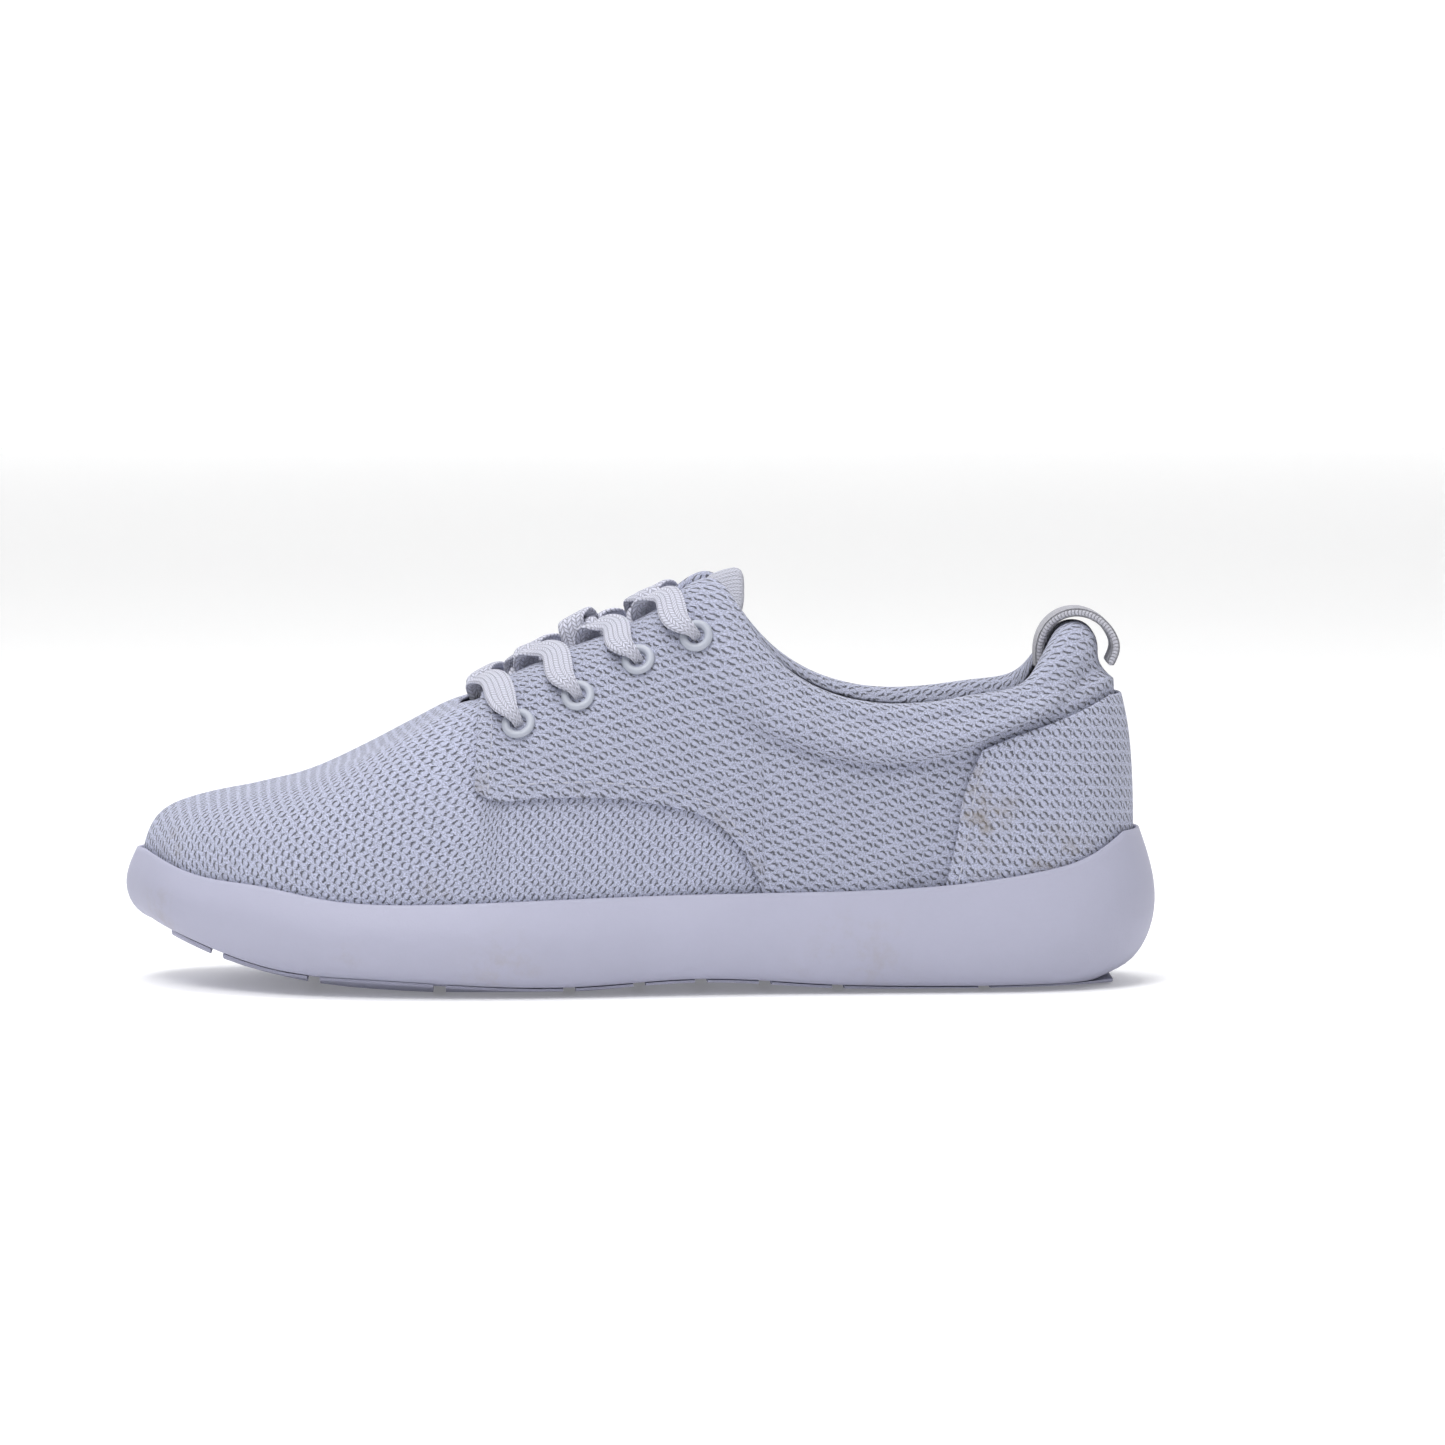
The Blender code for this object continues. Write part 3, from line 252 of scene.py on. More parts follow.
TABLE = np.array(ROWS)
ROW_KEYS = chord_keys(TABLE[:, :2])
LOOP_KEYS = np.concatenate([ROW_KEYS, 2 - ROW_KEYS[-2:0:-1]])


def closed_loop(lateral, medial):
    return spline(np.vstack([lateral, medial[-2:0:-1]]), LOOP_KEYS, 2.0)


outline = closed_loop(TABLE[:, [0, 1]], TABLE[:, [0, 2]])
top_loop = closed_loop(TABLE[:, [3, 4, 5]] * (1, -1, 1), TABLE[:, [3, 4, 5]])
edge_radius = closed_loop(TABLE[:, [6]], TABLE[:, [6]])
rim_height = spline(RIM)
footbed_height = spline(FOOTBED)
sole_edge = spline(SOLE_EDGE)
sole_centre = spline(SOLE_CENTRE)
roll_seam = spline(ROLL_SEAM)
quarter_edge = spline(QUARTER_EDGE)
heel_front = spline(HEEL_FRONT)
toe_shape = np.array(TOE_LINE)
toe_shape = (toe_shape - toe_shape[0]) / (toe_shape[-1] - toe_shape[0])
toe_profile = spline(toe_shape, chord_keys(TOE_LINE))


def along(s):
    """The column's place between toe (0) and heel (1), on either side."""
    s = np.asarray(s, float) % 2
    return np.minimum(s, 2 - s)


def inward(s):
    """Unit vector in plan, pointing from the sole's outline into the shoe."""
    tangent = unit(outline(np.asarray(s) + 1e-3) - outline(np.asarray(s) - 1e-3))
    return np.stack([-tangent[..., 1], tangent[..., 0]], -1)


def inset(s):
    """How far the last surface stands in from the sole's widest outline."""
    return 6.0 - 1.4 * (1 - ramp(along(s), 0.0, 0.12)) + 1.8 * ramp(along(s), 0.8, 0.97)


def wall_gap(s):
    """From the last surface out to the midsole's inner wall, wider where the quarter reaches it."""
    return 0.25 + 1.7 * ramp(outline(s)[..., 0], 8, 30)


def feather(s):
    """Foot of each column, in plan."""
    return outline(s) + inward(s) * inset(s)[..., None]


def last_surface(s, v, padded=True):
    """Points of the last surface at columns `s` and climbs `v`; `padded` adds the collar's roll."""
    s, v = np.broadcast_arrays(np.asarray(s, float), np.asarray(v, float))
    foot = feather(s)
    crest = top_loop(s)
    floor = footbed_height(foot[..., 0]) + CLEARANCE
    top = crest[..., 2] - edge_radius(s) - FABRIC - 0.2
    toe = (1 - ramp(along(s), 0.0, 0.36))[..., None]
    angle = np.clip(v, 0, 1) * math.pi / 2
    side = np.stack([1 - np.cos(angle)**0.9, np.sin(angle)**0.9], -1)
    wall = np.clip(v, 0, 1)[..., None]**(4.5, 1.0)
    collar = ramp(along(s), ANKLE_COLUMN - 0.03, SIDE_COLUMN)[..., None]
    side = side * (1 - collar) + wall * collar
    shape = side * (1 - toe) + toe_profile(np.clip(v, 0, 1)) * toe
    plan = foot + (crest[..., :2] - foot) * shape[..., :1]
    height = floor + (top - floor) * shape[..., 1]
    if not padded:
        return np.concatenate([plan, height[..., None]], -1)
    seam = roll_seam(plan[..., 0])
    climb = np.clip((height - seam) / np.maximum(top - seam, 1), 0, 1)
    swell = 3.4 * ramp(plan[..., 0], 14, 44) - 6.4 * ramp(plan[..., 0], 108, 131)
    plan = plan - inward(s) * (swell * 6.75 * climb * (1 - climb)**2)[..., None]
    return np.concatenate([plan, height[..., None]], -1)


def directions(s, v, padded=True):
    """Unit normal (outwards) and unit climb of the last surface."""
    low, high = np.clip(v - 0.02, 0, 1), np.clip(v + 0.02, 0, 1)
    climb = unit(last_surface(s, high, padded) - last_surface(s, low, padded))
    go_round = unit(last_surface(s + 1e-3, v, padded) - last_surface(s - 1e-3, v, padded))
    return unit(np.cross(go_round, climb)), climb


def layer(s, v, distance, padded=True):
    """The last surface moved outwards by `distance`. Above v = 1 it curls over the padded edge."""
    s, v, distance = np.broadcast_arrays(s, np.asarray(v, float), np.asarray(distance, float))
    body = np.minimum(v, 1)
    normal, climb = directions(s, body, padded)
    radius = edge_radius(s)[..., None]
    turn = (np.maximum(v - 1, 0) * math.pi)[..., None]
    centre = last_surface(s, body, padded) - radius * normal
    return centre + (radius + distance[..., None]) * (np.cos(turn) * normal + np.sin(turn) * climb)


def climb_to(s, height):
    """The v at which the column `s` reaches `height`, a function of x."""
    s = np.asarray(s, float)
    low, high = np.zeros_like(s), np.ones_like(s)
    for _ in range(30):
        middle = (low + high) / 2
        point = last_surface(s, middle, False)
        below = point[..., 2] < height(point[..., 0])
        low, high = np.where(below, middle, low), np.where(below, high, middle)
    return (low + high) / 2


def mirror(s, side):
    """The column `s` on side -1 (lateral) or 1 (medial)."""
    return s if side < 0 else 2 - s


def column_at(x, side):
    """The column whose foot is at `x`, on side -1 (lateral) or 1 (medial)."""
    low, high = 0.0, 1.0
    for _ in range(40):
        middle = (low + high) / 2
        here = feather(mirror(middle, side))[0]
        low, high = (middle, high) if here < x else (low, middle)
    return mirror(low, side)


def find_on_last(x, z, side):
    """(s, v) of the point of the last surface seen at (x, z) from the side."""
    low, high = 0.2, 0.9
    for _ in range(40):
        middle = (low + high) / 2
        s = np.array(mirror(middle, side))
        v = climb_to(s, lambda _: z)
        low, high = (middle, high) if last_surface(s, v)[0] < x else (low, middle)
    return s, v


def spread(low, high, count):
    """`count` values from `low` to `high`, which may be arrays, along a new last axis."""
    steps = np.linspace(0, 1, count)
    return np.asarray(low, float)[..., None] * (1 - steps) + np.asarray(high, float)[..., None] * steps


# Every piece is cut at the same columns, so that neighbouring layers stay parallel.
FRONT_COLUMN = float(column_at(-48.5, -1))      # front edge of the quarters
SIDE_COLUMN = float(column_at(45.0, -1))        # rear end of the vamp, below the ankle
ANKLE_COLUMN = float(column_at(18.0, -1))       # rear end of the throat


def lining_depth(s, v):
    """Distance of the lining's foot side behind the last surface."""
    at_toe = 1 - ramp(along(s), 0.10, 0.20)
    at_heel = ramp(along(s), 0.66, 0.74)
    seam = climb_to(s[:, :1] if np.ndim(s) == 2 else s, roll_seam)
    padded = ramp(v, seam - 0.12, 1.0) * ramp(along(s), ANKLE_COLUMN + 0.02, SIDE_COLUMN)
    base = 3.0 + 1.2 * at_toe + 1.8 * at_heel
    return base * (1 - padded) + (2 * edge_radius(s) + 1.3) * padded


def under_heel_panel(s, v):
    """1 where the heel panel covers the quarter."""
    point = last_surface(s, v)
    front = heel_front(point[..., 2])
    seam = climb_to(s[:, :1], roll_seam)
    return ramp(point[..., 0], front - 16, front - 6) * (1 - ramp(v, seam - 0.045, seam))


def tongue_section(t, overhang=0.0):
    """Section of the arch that closes the throat at place t, moved `overhang` past the top edge."""
    lateral, medial = (
        [layer(mirror(t, side), v, -TONGUE_DEPTH) for v in (0.74, 0.86, 0.96)] for side in (-1, 1)
    )
    middle = (lateral[-1] + medial[-1]) / 2
    dip = 7.0 * (1 - float(ramp(t, FRONT_COLUMN, FRONT_COLUMN + 0.06)))
    middle[2] = float(top_loop(t)[2]) + TONGUE_CROWN - dip
    chain = [*lateral, middle, *medial[::-1]]
    section = spline(chain, chord_keys(chain))(np.linspace(0, 1, 9))
    rise = overhang * (0.5 - 0.025 * overhang) if overhang > 0 else 0.62 * overhang
    section += (overhang, 0.0, rise)
    section[:, 1] *= 1 - 0.012 * abs(overhang)
    return section


# Materials.

def node(tree, kind, *links, **settings):
    """A shader node with its first inputs filled from `links`: sockets or constants."""
    made = tree.nodes.new(kind)
    for key, value in settings.items():
        setattr(made, key, value)
    for slot, value in zip(made.inputs, links):
        if isinstance(value, bpy.types.NodeSocket):
            tree.links.new(value, slot)
        elif value is not None:
            slot.default_value = value
    return made


def calc(tree, operation, *values, clamp=False):
    return node(tree, "ShaderNodeMath", *values, operation=operation, use_clamp=clamp).outputs[0]


def times(tree, one, other, clamp=False):
    return calc(tree, "MULTIPLY", one, other, clamp=clamp)


def plus(tree, one, other):
    return calc(tree, "ADD", one, other)


def minus(tree, one, other):
    return calc(tree, "SUBTRACT", one, other)


def radius_of(tree, a, b):
    """Distance of (a, b) from the middle of its cell."""
    return calc(tree, "SQRT", plus(tree, calc(tree, "POWER", a, 2.0), calc(tree, "POWER", b, 2.0)))


def shade(base, factor):
    return tuple(factor * c for c in base)


def band(tree, value, low, high):
    """0 below `low`, 1 above `high`."""
    made = node(tree, "ShaderNodeMapRange", value, low, high, 0.0, 1.0, interpolation_type="SMOOTHSTEP")
    return made.outputs[0]


def noise(tree, place, scale, detail=3.0, rough=0.55):
    made = node(tree, "ShaderNodeTexNoise", place, None, scale, detail, rough)
    return made.outputs[0]


def mix(tree, share, one, other):
    made = tree.nodes.new("ShaderNodeMix")
    made.data_type = "RGBA"
    for slot, value in ((0, share), (6, one), (7, other)):
        if isinstance(value, bpy.types.NodeSocket):
            tree.links.new(value, made.inputs[slot])
        elif slot:
            made.inputs[slot].default_value = (*value, 1.0)
        else:
            made.inputs[slot].default_value = value
    return made.outputs[2]


def look(name, roughness, sheen=0.0):
    """A new material: (material, tree, shader, place in metres)."""
    made = bpy.data.materials.new(name)
    made.use_nodes = True
    tree = made.node_tree
    shader = tree.nodes["Principled BSDF"]
    shader.inputs["Roughness"].default_value = roughness
    shader.inputs["Sheen Weight"].default_value = sheen
    place = tree.nodes.new("ShaderNodeTexCoord").outputs["Object"]
    return made, tree, shader, place


def dressed(made, tree, shader, colour, height, distance):
    """The material `made`, with its colour and the relief of `height` linked."""
    relief = node(tree, "ShaderNodeBump", 1.0, distance)
    tree.links.new(height, relief.inputs["Height"])
    tree.links.new(relief.outputs[0], shader.inputs["Normal"])
    tree.links.new(colour, shader.inputs["Base Color"])
    return made


def dirt(tree, place, colour, spots, tint=(0.30, 0.25, 0.19)):
    """Stains `colour` near each spot (x, y, z, radius, strength), in millimetres."""
    cloud = band(tree, noise(tree, place, 160.0, 6.0, 0.7), 0.42, 0.72)
    for *centre, radius, strength in spots:
        away = node(tree, "ShaderNodeVectorMath", place, shade(centre, 0.001), operation="DISTANCE")
        near = band(tree, away.outputs[1], radius / 1000, 0.15 * radius / 1000)
        colour = mix(tree, times(tree, near, times(tree, cloud, strength)), colour, tint)
    return colour


def weave_place(tree):
    """The piece's weave coordinates, in millimetres."""
    return node(tree, "ShaderNodeAttribute", attribute_name="cloth").outputs["Vector"]


def cell(tree, pitch, angle):
    """Coordinates inside one cell of a square lattice on the cloth: both from -0.5 to 0.5."""
    cloth = weave_place(tree)
    turn = (0, 0, math.radians(angle))
    turned = node(tree, "ShaderNodeMapping", cloth, (0, 0, 0), turn, (1 / pitch, 1 / pitch, 1.0))
    wave = times(tree, noise(tree, cloth, 0.35, 2.0), 0.16)
    axes = node(tree, "ShaderNodeSeparateXYZ", turned.outputs[0])
    sides = []
    for k in range(2):
        bent = plus(tree, axes.outputs[k], wave)
        sides.append(minus(tree, calc(tree, "FRACT", bent), 0.5))
    return cloth, sides


def ring_mesh(name, base, pitch, angle, lean, spots=()):
    """Knitted mesh with one small raised ring per lattice cell, and painted groove shade: dark crescents on
    two sides of each ring.
    """
    made, tree, shader, place = look(name, 0.82, 0.25)
    cloth, (a, b) = cell(tree, pitch, angle)
    ragged = times(tree, minus(tree, noise(tree, cloth, 1.7, 3.0), 0.5), 0.4)
    away = plus(tree, radius_of(tree, a, times(tree, b, 1.12)), ragged)
    inside = band(tree, away, 0.24, 0.13)
    rim = minus(tree, band(tree, away, 0.44, 0.34), band(tree, away, 0.29, 0.20))
    # `lean` sets the direction in which each ring's two crescents of painted shade lie.
    tilt = math.radians(lean)
    lit = plus(tree, times(tree, a, math.cos(tilt)), times(tree, b, math.sin(tilt)))
    side = band(tree, calc(tree, "ABSOLUTE", lit), 0.10, 0.25)
    crescent = times(tree, rim, side, clamp=True)
    fuzz = noise(tree, cloth, 1.9, 5.0, 0.8)
    pores = times(tree, band(tree, fuzz, 0.45, 0.33), band(tree, away, 0.30, 0.42))
    patchy = noise(tree, cloth, 0.09, 2.0)
    dark = shade(base, 0.24)
    colour = mix(tree, band(tree, fuzz, 0.38, 0.6), shade(base, 0.66), shade(base, 1.3))
    colour = mix(tree, times(tree, pores, 0.6), colour, dark)
    colour = mix(tree, inside, colour, shade(base, 1.1))
    # Painted shade in each ring's groove: its crescents are darkened, patchily.
    depth = plus(tree, times(tree, patchy, 0.5), 0.6)
    depth = times(tree, crescent, plus(tree, depth, times(tree, fuzz, 0.3)), clamp=True)
    colour = dirt(tree, place, mix(tree, depth, colour, dark), spots)
    height = plus(tree, times(tree, fuzz, 1.1), times(tree, inside, 0.2))
    height = minus(tree, height, times(tree, crescent, 1.2))
    return dressed(made, tree, shader, colour, height, 0.0006)


def fine_mesh(name, base, pitch=1.5):
    """Fine spacer mesh: small dark holes on a square lattice."""
    made, tree, shader, _ = look(name, 0.88, 0.2)
    cloth, (a, b) = cell(tree, pitch, 45.0)
    hole = band(tree, radius_of(tree, a, b), 0.30, 0.16)
    fuzz = noise(tree, cloth, 3.0, 3.0)
    colour = mix(tree, fuzz, shade(base, 0.82), shade(base, 1.1))
    colour = mix(tree, hole, colour, shade(base, 0.45))
    return dressed(made, tree, shader, colour, minus(tree, fuzz, times(tree, hole, 1.5)), 0.0003)


def herringbone(name, base, pitch=1.25):
    """Flat woven tape: chevron ribs. The cloth's first axis runs along the tape."""
    made, tree, shader, _ = look(name, 0.8, 0.3)
    cloth = weave_place(tree)
    axes = node(tree, "ShaderNodeSeparateXYZ", cloth)
    folded = calc(tree, "PINGPONG", plus(tree, axes.outputs[1], 40.0), 1.35)
    phase = calc(tree, "DIVIDE", plus(tree, axes.outputs[0], folded), pitch)
    rib = calc(tree, "ABSOLUTE", minus(tree, calc(tree, "FRACT", phase), 0.5))
    column = band(tree, calc(tree, "ABSOLUTE", minus(tree, folded, 0.675)), 0.52, 0.66)
    fuzz = noise(tree, cloth, 4.0, 4.0, 0.7)
    groove = calc(tree, "MAXIMUM", band(tree, rib, 0.16, 0.02), times(tree, column, 0.7))
    colour = mix(tree, fuzz, shade(base, 0.88), base)
    colour = mix(tree, times(tree, groove, 0.7), colour, shade(base, 0.5))
    return dressed(made, tree, shader, colour, minus(tree, times(tree, fuzz, 0.4), groove), 0.0005)


def foam(name, base, roughness=0.62, spots=()):
    """Matte moulded foam: very fine skin grain, stains at the given spots, and painted shade that makes it
    slightly darker towards the ground.
    """
    made, tree, shader, place = look(name, roughness)
    grain = noise(tree, place, 1400.0, 3.0, 0.6)
    cloud = noise(tree, place, 28.0, 4.0, 0.6)
    up = node(tree, "ShaderNodeSeparateXYZ", place).outputs[2]
    # Painted shade near the ground: the foam is darkened below about 26 mm.
    low = band(tree, plus(tree, up, times(tree, cloud, 0.012)), 0.026, 0.004)
    colour = mix(tree, cloud, shade(base, 0.94), shade(base, 1.04))
    colour = mix(tree, times(tree, low, 0.35), colour, shade(base, 0.72))
    colour = dirt(tree, place, colour, spots)
    height = plus(tree, times(tree, grain, 0.35), noise(tree, place, 90.0, 2.0))
    return dressed(made, tree, shader, colour, height, 0.00025)


def plastic(name, base, roughness=0.38):
    """Moulded plastic, faintly clouded."""
    made, tree, shader, place = look(name, roughness)
    colour = mix(tree, noise(tree, place, 240.0, 4.0), shade(base, 0.9), base)
    return dressed(made, tree, shader, colour, noise(tree, place, 900.0, 2.0), 0.00004)


def thread(name, base):
    """Twisted sewing thread."""
    made, tree, shader, place = look(name, 0.75, 0.2)
    twist = noise(tree, place, 2600.0, 2.0)
    return dressed(made, tree, shader, mix(tree, twist, shade(base, 0.7), base), twist, 0.0001)


# Meshes.

def made_of(name, points, faces, material_, cloth=None, body="shoe"):
    """A piece from points in millimetres; `cloth` holds its weave coordinates in millimetres."""
    mesh = bpy.data.meshes.new(name)
    points = np.asarray(points, float).reshape(-1, 3)
    mesh.from_pydata((points / 1000).tolist(), [], faces)
    mesh.update()
    if cloth is not None:
        kept = mesh.attributes.new("cloth", "FLOAT_VECTOR", "POINT")
        kept.data.foreach_set("vector", np.asarray(cloth, np.float32).reshape(-1))
    form = bmesh.new()
    form.from_mesh(mesh)
    bmesh.ops.remove_doubles(form, verts=form.verts, dist=1e-6)
    bmesh.ops.recalc_face_normals(form, faces=form.faces)
    form.to_mesh(mesh)
    form.free()
    mesh.shade_smooth()
    mesh.materials.append(material_)
    made = bpy.data.objects.new(name, mesh)
    bpy.context.scene.collection.objects.link(made)
    if body:
        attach(made, body)
    return made


def grid_faces(rows, columns, closed=False):
    """Quads of a grid of points, row by row; `closed` joins its last row to its first."""
    i, j = np.meshgrid(np.arange(rows if closed else rows - 1), np.arange(columns - 1), indexing="ij")
    n = (i + 1) % rows
    quads = np.stack([i * columns + j, n * columns + j, n * columns + j + 1, i * columns + j + 1], -1)
    return quads.reshape(-1, 4)


def loop_of(rows, columns):
    """Indices round the edge of a grid."""
    grid = np.arange(rows * columns).reshape(rows, columns)
    return np.concatenate([grid[0, :-1], grid[:-1, -1], grid[-1, :0:-1], grid[:0:-1, 0]])


def slab(name, outer, inner, material_, cloth, body="shoe"):
    """A closed sheet between two grids, joined along their edges."""
    rows, columns = outer.shape[:2]
    quads = grid_faces(rows, columns)
    count = rows * columns
    ring = loop_of(rows, columns)
    after = np.roll(ring, -1)
    sides = np.stack([ring, after, after + count, ring + count], -1)
    faces = np.concatenate([quads, quads[:, ::-1] + count, sides]).tolist()
    points = np.concatenate([outer.reshape(-1, 3), inner.reshape(-1, 3)])
    return made_of(name, points, faces, material_, np.concatenate([cloth.reshape(-1, 3)] * 2), body)


def lengths(points, axis):
    """Distance travelled along an axis of a grid of points."""
    step = np.linalg.norm(np.diff(points, axis=axis), axis=-1)
    start = np.zeros_like(np.take(step, [0], axis))
    return np.concatenate([start, np.cumsum(step, axis)], axis)


def from_edge(points):
    """Distance of every point of a grid from the grid's nearest edge."""
    near = []
    for axis in (0, 1):
        gone = lengths(points, axis)
        near += [gone, np.take(gone, [-1], axis) - gone]
    return np.min(np.broadcast_arrays(*near), axis=0)


def flattened(points):
    """Weave coordinates of a grid: its columns laid out flat, one beside the other."""
    count, rows = points.shape[:2]
    step = points[1:] - points[:-1]
    mid = (points[1:] + points[:-1]) / 2
    climb = unit(mid[:, -1] - mid[:, rows // 4])
    flat = np.zeros((count, rows, 2))
    run = lengths(points, 1)
    flat[0, :, 1] = run[0]
    for i in range(1, count):
        up = unit(flat[i - 1, -1] - flat[i - 1, 0])
        out = np.array([up[1], -up[0]])
        ends = []
        for j in (0, rows - 1):
            rise = float(step[i - 1, j] @ climb[i - 1])
            aside = math.sqrt(max(float(step[i - 1, j] @ step[i - 1, j]) - rise * rise, 0))
            ends.append(flat[i - 1, j] + rise * up + aside * out)
        way = unit(ends[1] - ends[0])
        flat[i] = ends[0] + run[i][:, None] * way
        flat[i] += (ends[1] - flat[i, -1]) / 2
    return np.concatenate([flat, np.zeros((count, rows, 1))], -1)


def soften(points, amount):
    """Slow hand-made unevenness of cloth, as a distance for every point."""
    rng = np.random.default_rng(7)
    total = 0
    for wave in (38.0, 23.0, 14.0, 9.0):
        way = unit(rng.normal(size=(3, 3)))
        phase = rng.uniform(0, 6.28, 3)
        total = total + sum(np.sin(points @ way[k] * 6.28 / wave + phase[k]) for k in range(3)) * wave / 38.0
    return amount * total / 3


def normals_of(face, centre):
    """Unit normals of a grid of points, turned away from `centre`."""
    normal = unit(np.cross(np.gradient(face, axis=0), np.gradient(face, axis=1)))
    return normal * np.sign((normal * (face - np.array(centre))).sum(-1, keepdims=True))


def rounded(points, thickness):
    """How much each face of a sheet draws in near its edge, so that the edge is round."""
    share = np.clip(from_edge(points) / (thickness / 2), 0, 1)
    return thickness / 2 * (1 - np.sqrt(1 - (1 - share)**2))


def edge_spaced(count, fine=(0.0, 0.0012, 0.003, 0.006, 0.011)):
    """Places from 0 to 1, with extra ones near both ends."""
    fine = np.array(fine)
    return np.concatenate([fine, np.linspace(0.02, 0.98, count), 1 - fine[::-1]])


def cloth_piece(name, s, v, outer, thickness, material_, replaces=(), wavy=0.12, hem=None, padded=True,
                body="shoe"):
    """A piece of cloth on the last surface: `outer` is its face's distance from that surface."""
    middle = layer(s, v, outer, padded)
    drawn = rounded(middle, thickness)
    uneven = soften(middle, wavy) * ramp(from_edge(middle), 0, 8)
    lift = 0 if hem is None else hem(middle)
    face = layer(s, v, outer - drawn + uneven + lift, padded)
    back = layer(s, v, outer - thickness + drawn + uneven, padded)
    made = slab(name, face, back, material_, flattened(middle), body)
    if replaces:
        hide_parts(*replaces)
    return made, face


def stitches(name, line, normal, material_):
    """A row of short rounded stitches along `line`, lying on the cloth whose normals are given."""
    length, gap, radius, stations, sides = 2.3, 0.9, 0.28, 6, 6
    run = lengths(line, 0)
    arch = np.sin(np.linspace(0, math.pi, stations))
    girth = radius * np.sqrt(np.maximum(arch, 0.08))[:, None]
    points, faces = [], []
    for start in np.arange(1.0, run[-1] - length, length + gap):
        places = np.linspace(start, start + length, stations)
        path = np.stack([np.interp(places, run, line[:, k]) for k in range(3)], -1)
        up = unit(np.stack([np.interp(places, run, normal[:, k]) for k in range(3)], -1))
        path = path + up * (0.32 * arch - 0.10)[:, None]
        across = unit(np.cross(np.gradient(path, axis=0), up))
        turns = np.linspace(0, 2 * math.pi, sides + 1)[:-1]
        ring = [path + across * girth * math.cos(t) + up * girth * math.sin(t) for t in turns]
        base = len(points) * stations * sides
        points.append(np.stack(ring, 1).reshape(-1, 3))
        faces += (tube_faces(stations, sides) + base).tolist()
        faces += [[base + k for k in range(sides)], [base + (stations - 1) * sides + k for k in range(sides)]]
    return made_of(name, np.concatenate(points), faces, material_)


def tube_faces(count, size):
    """Quads between `count` rings of `size` points."""
    i, j = np.meshgrid(np.arange(count - 1), np.arange(size), indexing="ij")
    k = (j + 1) % size
    return np.stack([i * size + j, i * size + k, (i + 1) * size + k, (i + 1) * size + j], -1).reshape(-1, 4)


def tube(name, rings, material_, cloth=None, body="shoe"):
    """A closed solid through rings of points."""
    rings = np.asarray(rings, float)
    count, size = rings.shape[:2]
    faces = tube_faces(count, size).tolist()
    faces += [list(range(size)), list(range((count - 1) * size, count * size))]
    return made_of(name, rings, faces, material_, cloth, body)


def lathe(name, profile, place, axis, material_, segments=40):
    """A closed profile of (radius, height) turned round `axis`."""
    axis = unit(np.asarray(axis, float))
    across = unit(np.cross(axis, (1.0, 0.0, 0.0)))
    other = np.cross(axis, across)
    turn = np.linspace(0, 2 * math.pi, segments, endpoint=False)
    spokes = np.cos(turn)[:, None] * across + np.sin(turn)[:, None] * other
    profile = np.asarray(profile, float)
    rings = place + profile[None, :, :1] * spokes[:, None] + profile[None, :, 1:] * axis
    size = len(profile)
    faces = []
    for k in range(segments):
        n = (k + 1) % segments
        for j in range(size):
            m = (j + 1) % size
            faces.append([k * size + j, n * size + j, n * size + m, k * size + m])
    return made_of(name, rings, faces, material_)


# Pieces.

def make_camera():
    """A long lens from the lateral side, slightly above the ground."""
    camera = bpy.data.objects.new("camera", bpy.data.cameras.new("camera"))
    bpy.context.scene.collection.objects.link(camera)
    bpy.context.scene.camera = camera
    azimuth, elevation, distance = math.radians(-1.5), math.radians(4.5), 2.6
    level = math.cos(elevation)
    back = np.array([math.sin(azimuth) * level, -math.cos(azimuth) * level, math.sin(elevation)])
    camera.location = np.array([0.0228, -0.035, 0.0774]) + back * distance
    camera.rotation_euler = (math.pi / 2 - elevation, 0.0, azimuth)
    camera.data.sensor_width = 36.0
    camera.data.lens = 36.0 * distance / 0.4121
    camera.data.clip_end = 20.0


def stage_plane(name, corners, roughness, scale, base, glow):
    """A pale plane of the studio, which glows enough to stay white."""
    pale, tree, shader, place = look(name, roughness)
    colour = mix(tree, noise(tree, place, scale), base, (0.92, 0.92, 0.92))
    tree.links.new(colour, shader.inputs["Base Color"])
    shader.inputs["Emission Color"].default_value = (1.0, 1.0, 1.0, 1.0)
    shader.inputs["Emission Strength"].default_value = glow
    mesh = bpy.data.meshes.new(name)
    mesh.from_pydata(corners, [], [[0, 1, 2, 3]])
    mesh.materials.append(pale)
    made = bpy.data.objects.new(name, mesh)
    bpy.context.scene.collection.objects.link(made)


def make_studio():
    """Soft overhead light, a pale floor, and a white backdrop well behind the shoe."""
    world = bpy.data.worlds.new("studio")
    bpy.context.scene.world = world
    world.use_nodes = True
    background = world.node_tree.nodes["Background"]
    background.inputs[0].default_value = (1.0, 1.0, 1.0, 1.0)
    background.inputs[1].default_value = 0.36
    lamps = (
        ("key", (-0.45, -0.9, 1.5), 0.8, 16.0),
        ("fill", (1.2, -1.2, 0.7), 1.0, 2.5),
        ("top", (0.0, 0.1, 1.6), 1.0, 15.0),
    )
    for name, place, size, power in lamps:
        light = bpy.data.lights.new(name, "AREA")
        light.size = size
        light.energy = power
        lamp = bpy.data.objects.new(name, light)
        bpy.context.scene.collection.objects.link(lamp)
        lamp.location = place
        toward = Vector((0.0, 0.0, 0.06)) - Vector(place)
        lamp.rotation_euler = toward.to_track_quat("-Z", "Y").to_euler()
    half, ground, rear = 4, -0.0004, 3.2
    corners = [(-half, -half, ground), (half, -half, ground), (half, half, ground), (-half, half, ground)]
    stage_plane("floor", corners, 0.8, 3.0, (0.90, 0.90, 0.905), 0.15)
    corners = [(-half, rear, -0.1), (half, rear, -0.1), (half, rear, half), (-half, rear, half)]
    stage_plane("backdrop", corners, 0.9, 2.0, (0.90, 0.90, 0.90), 0.7)


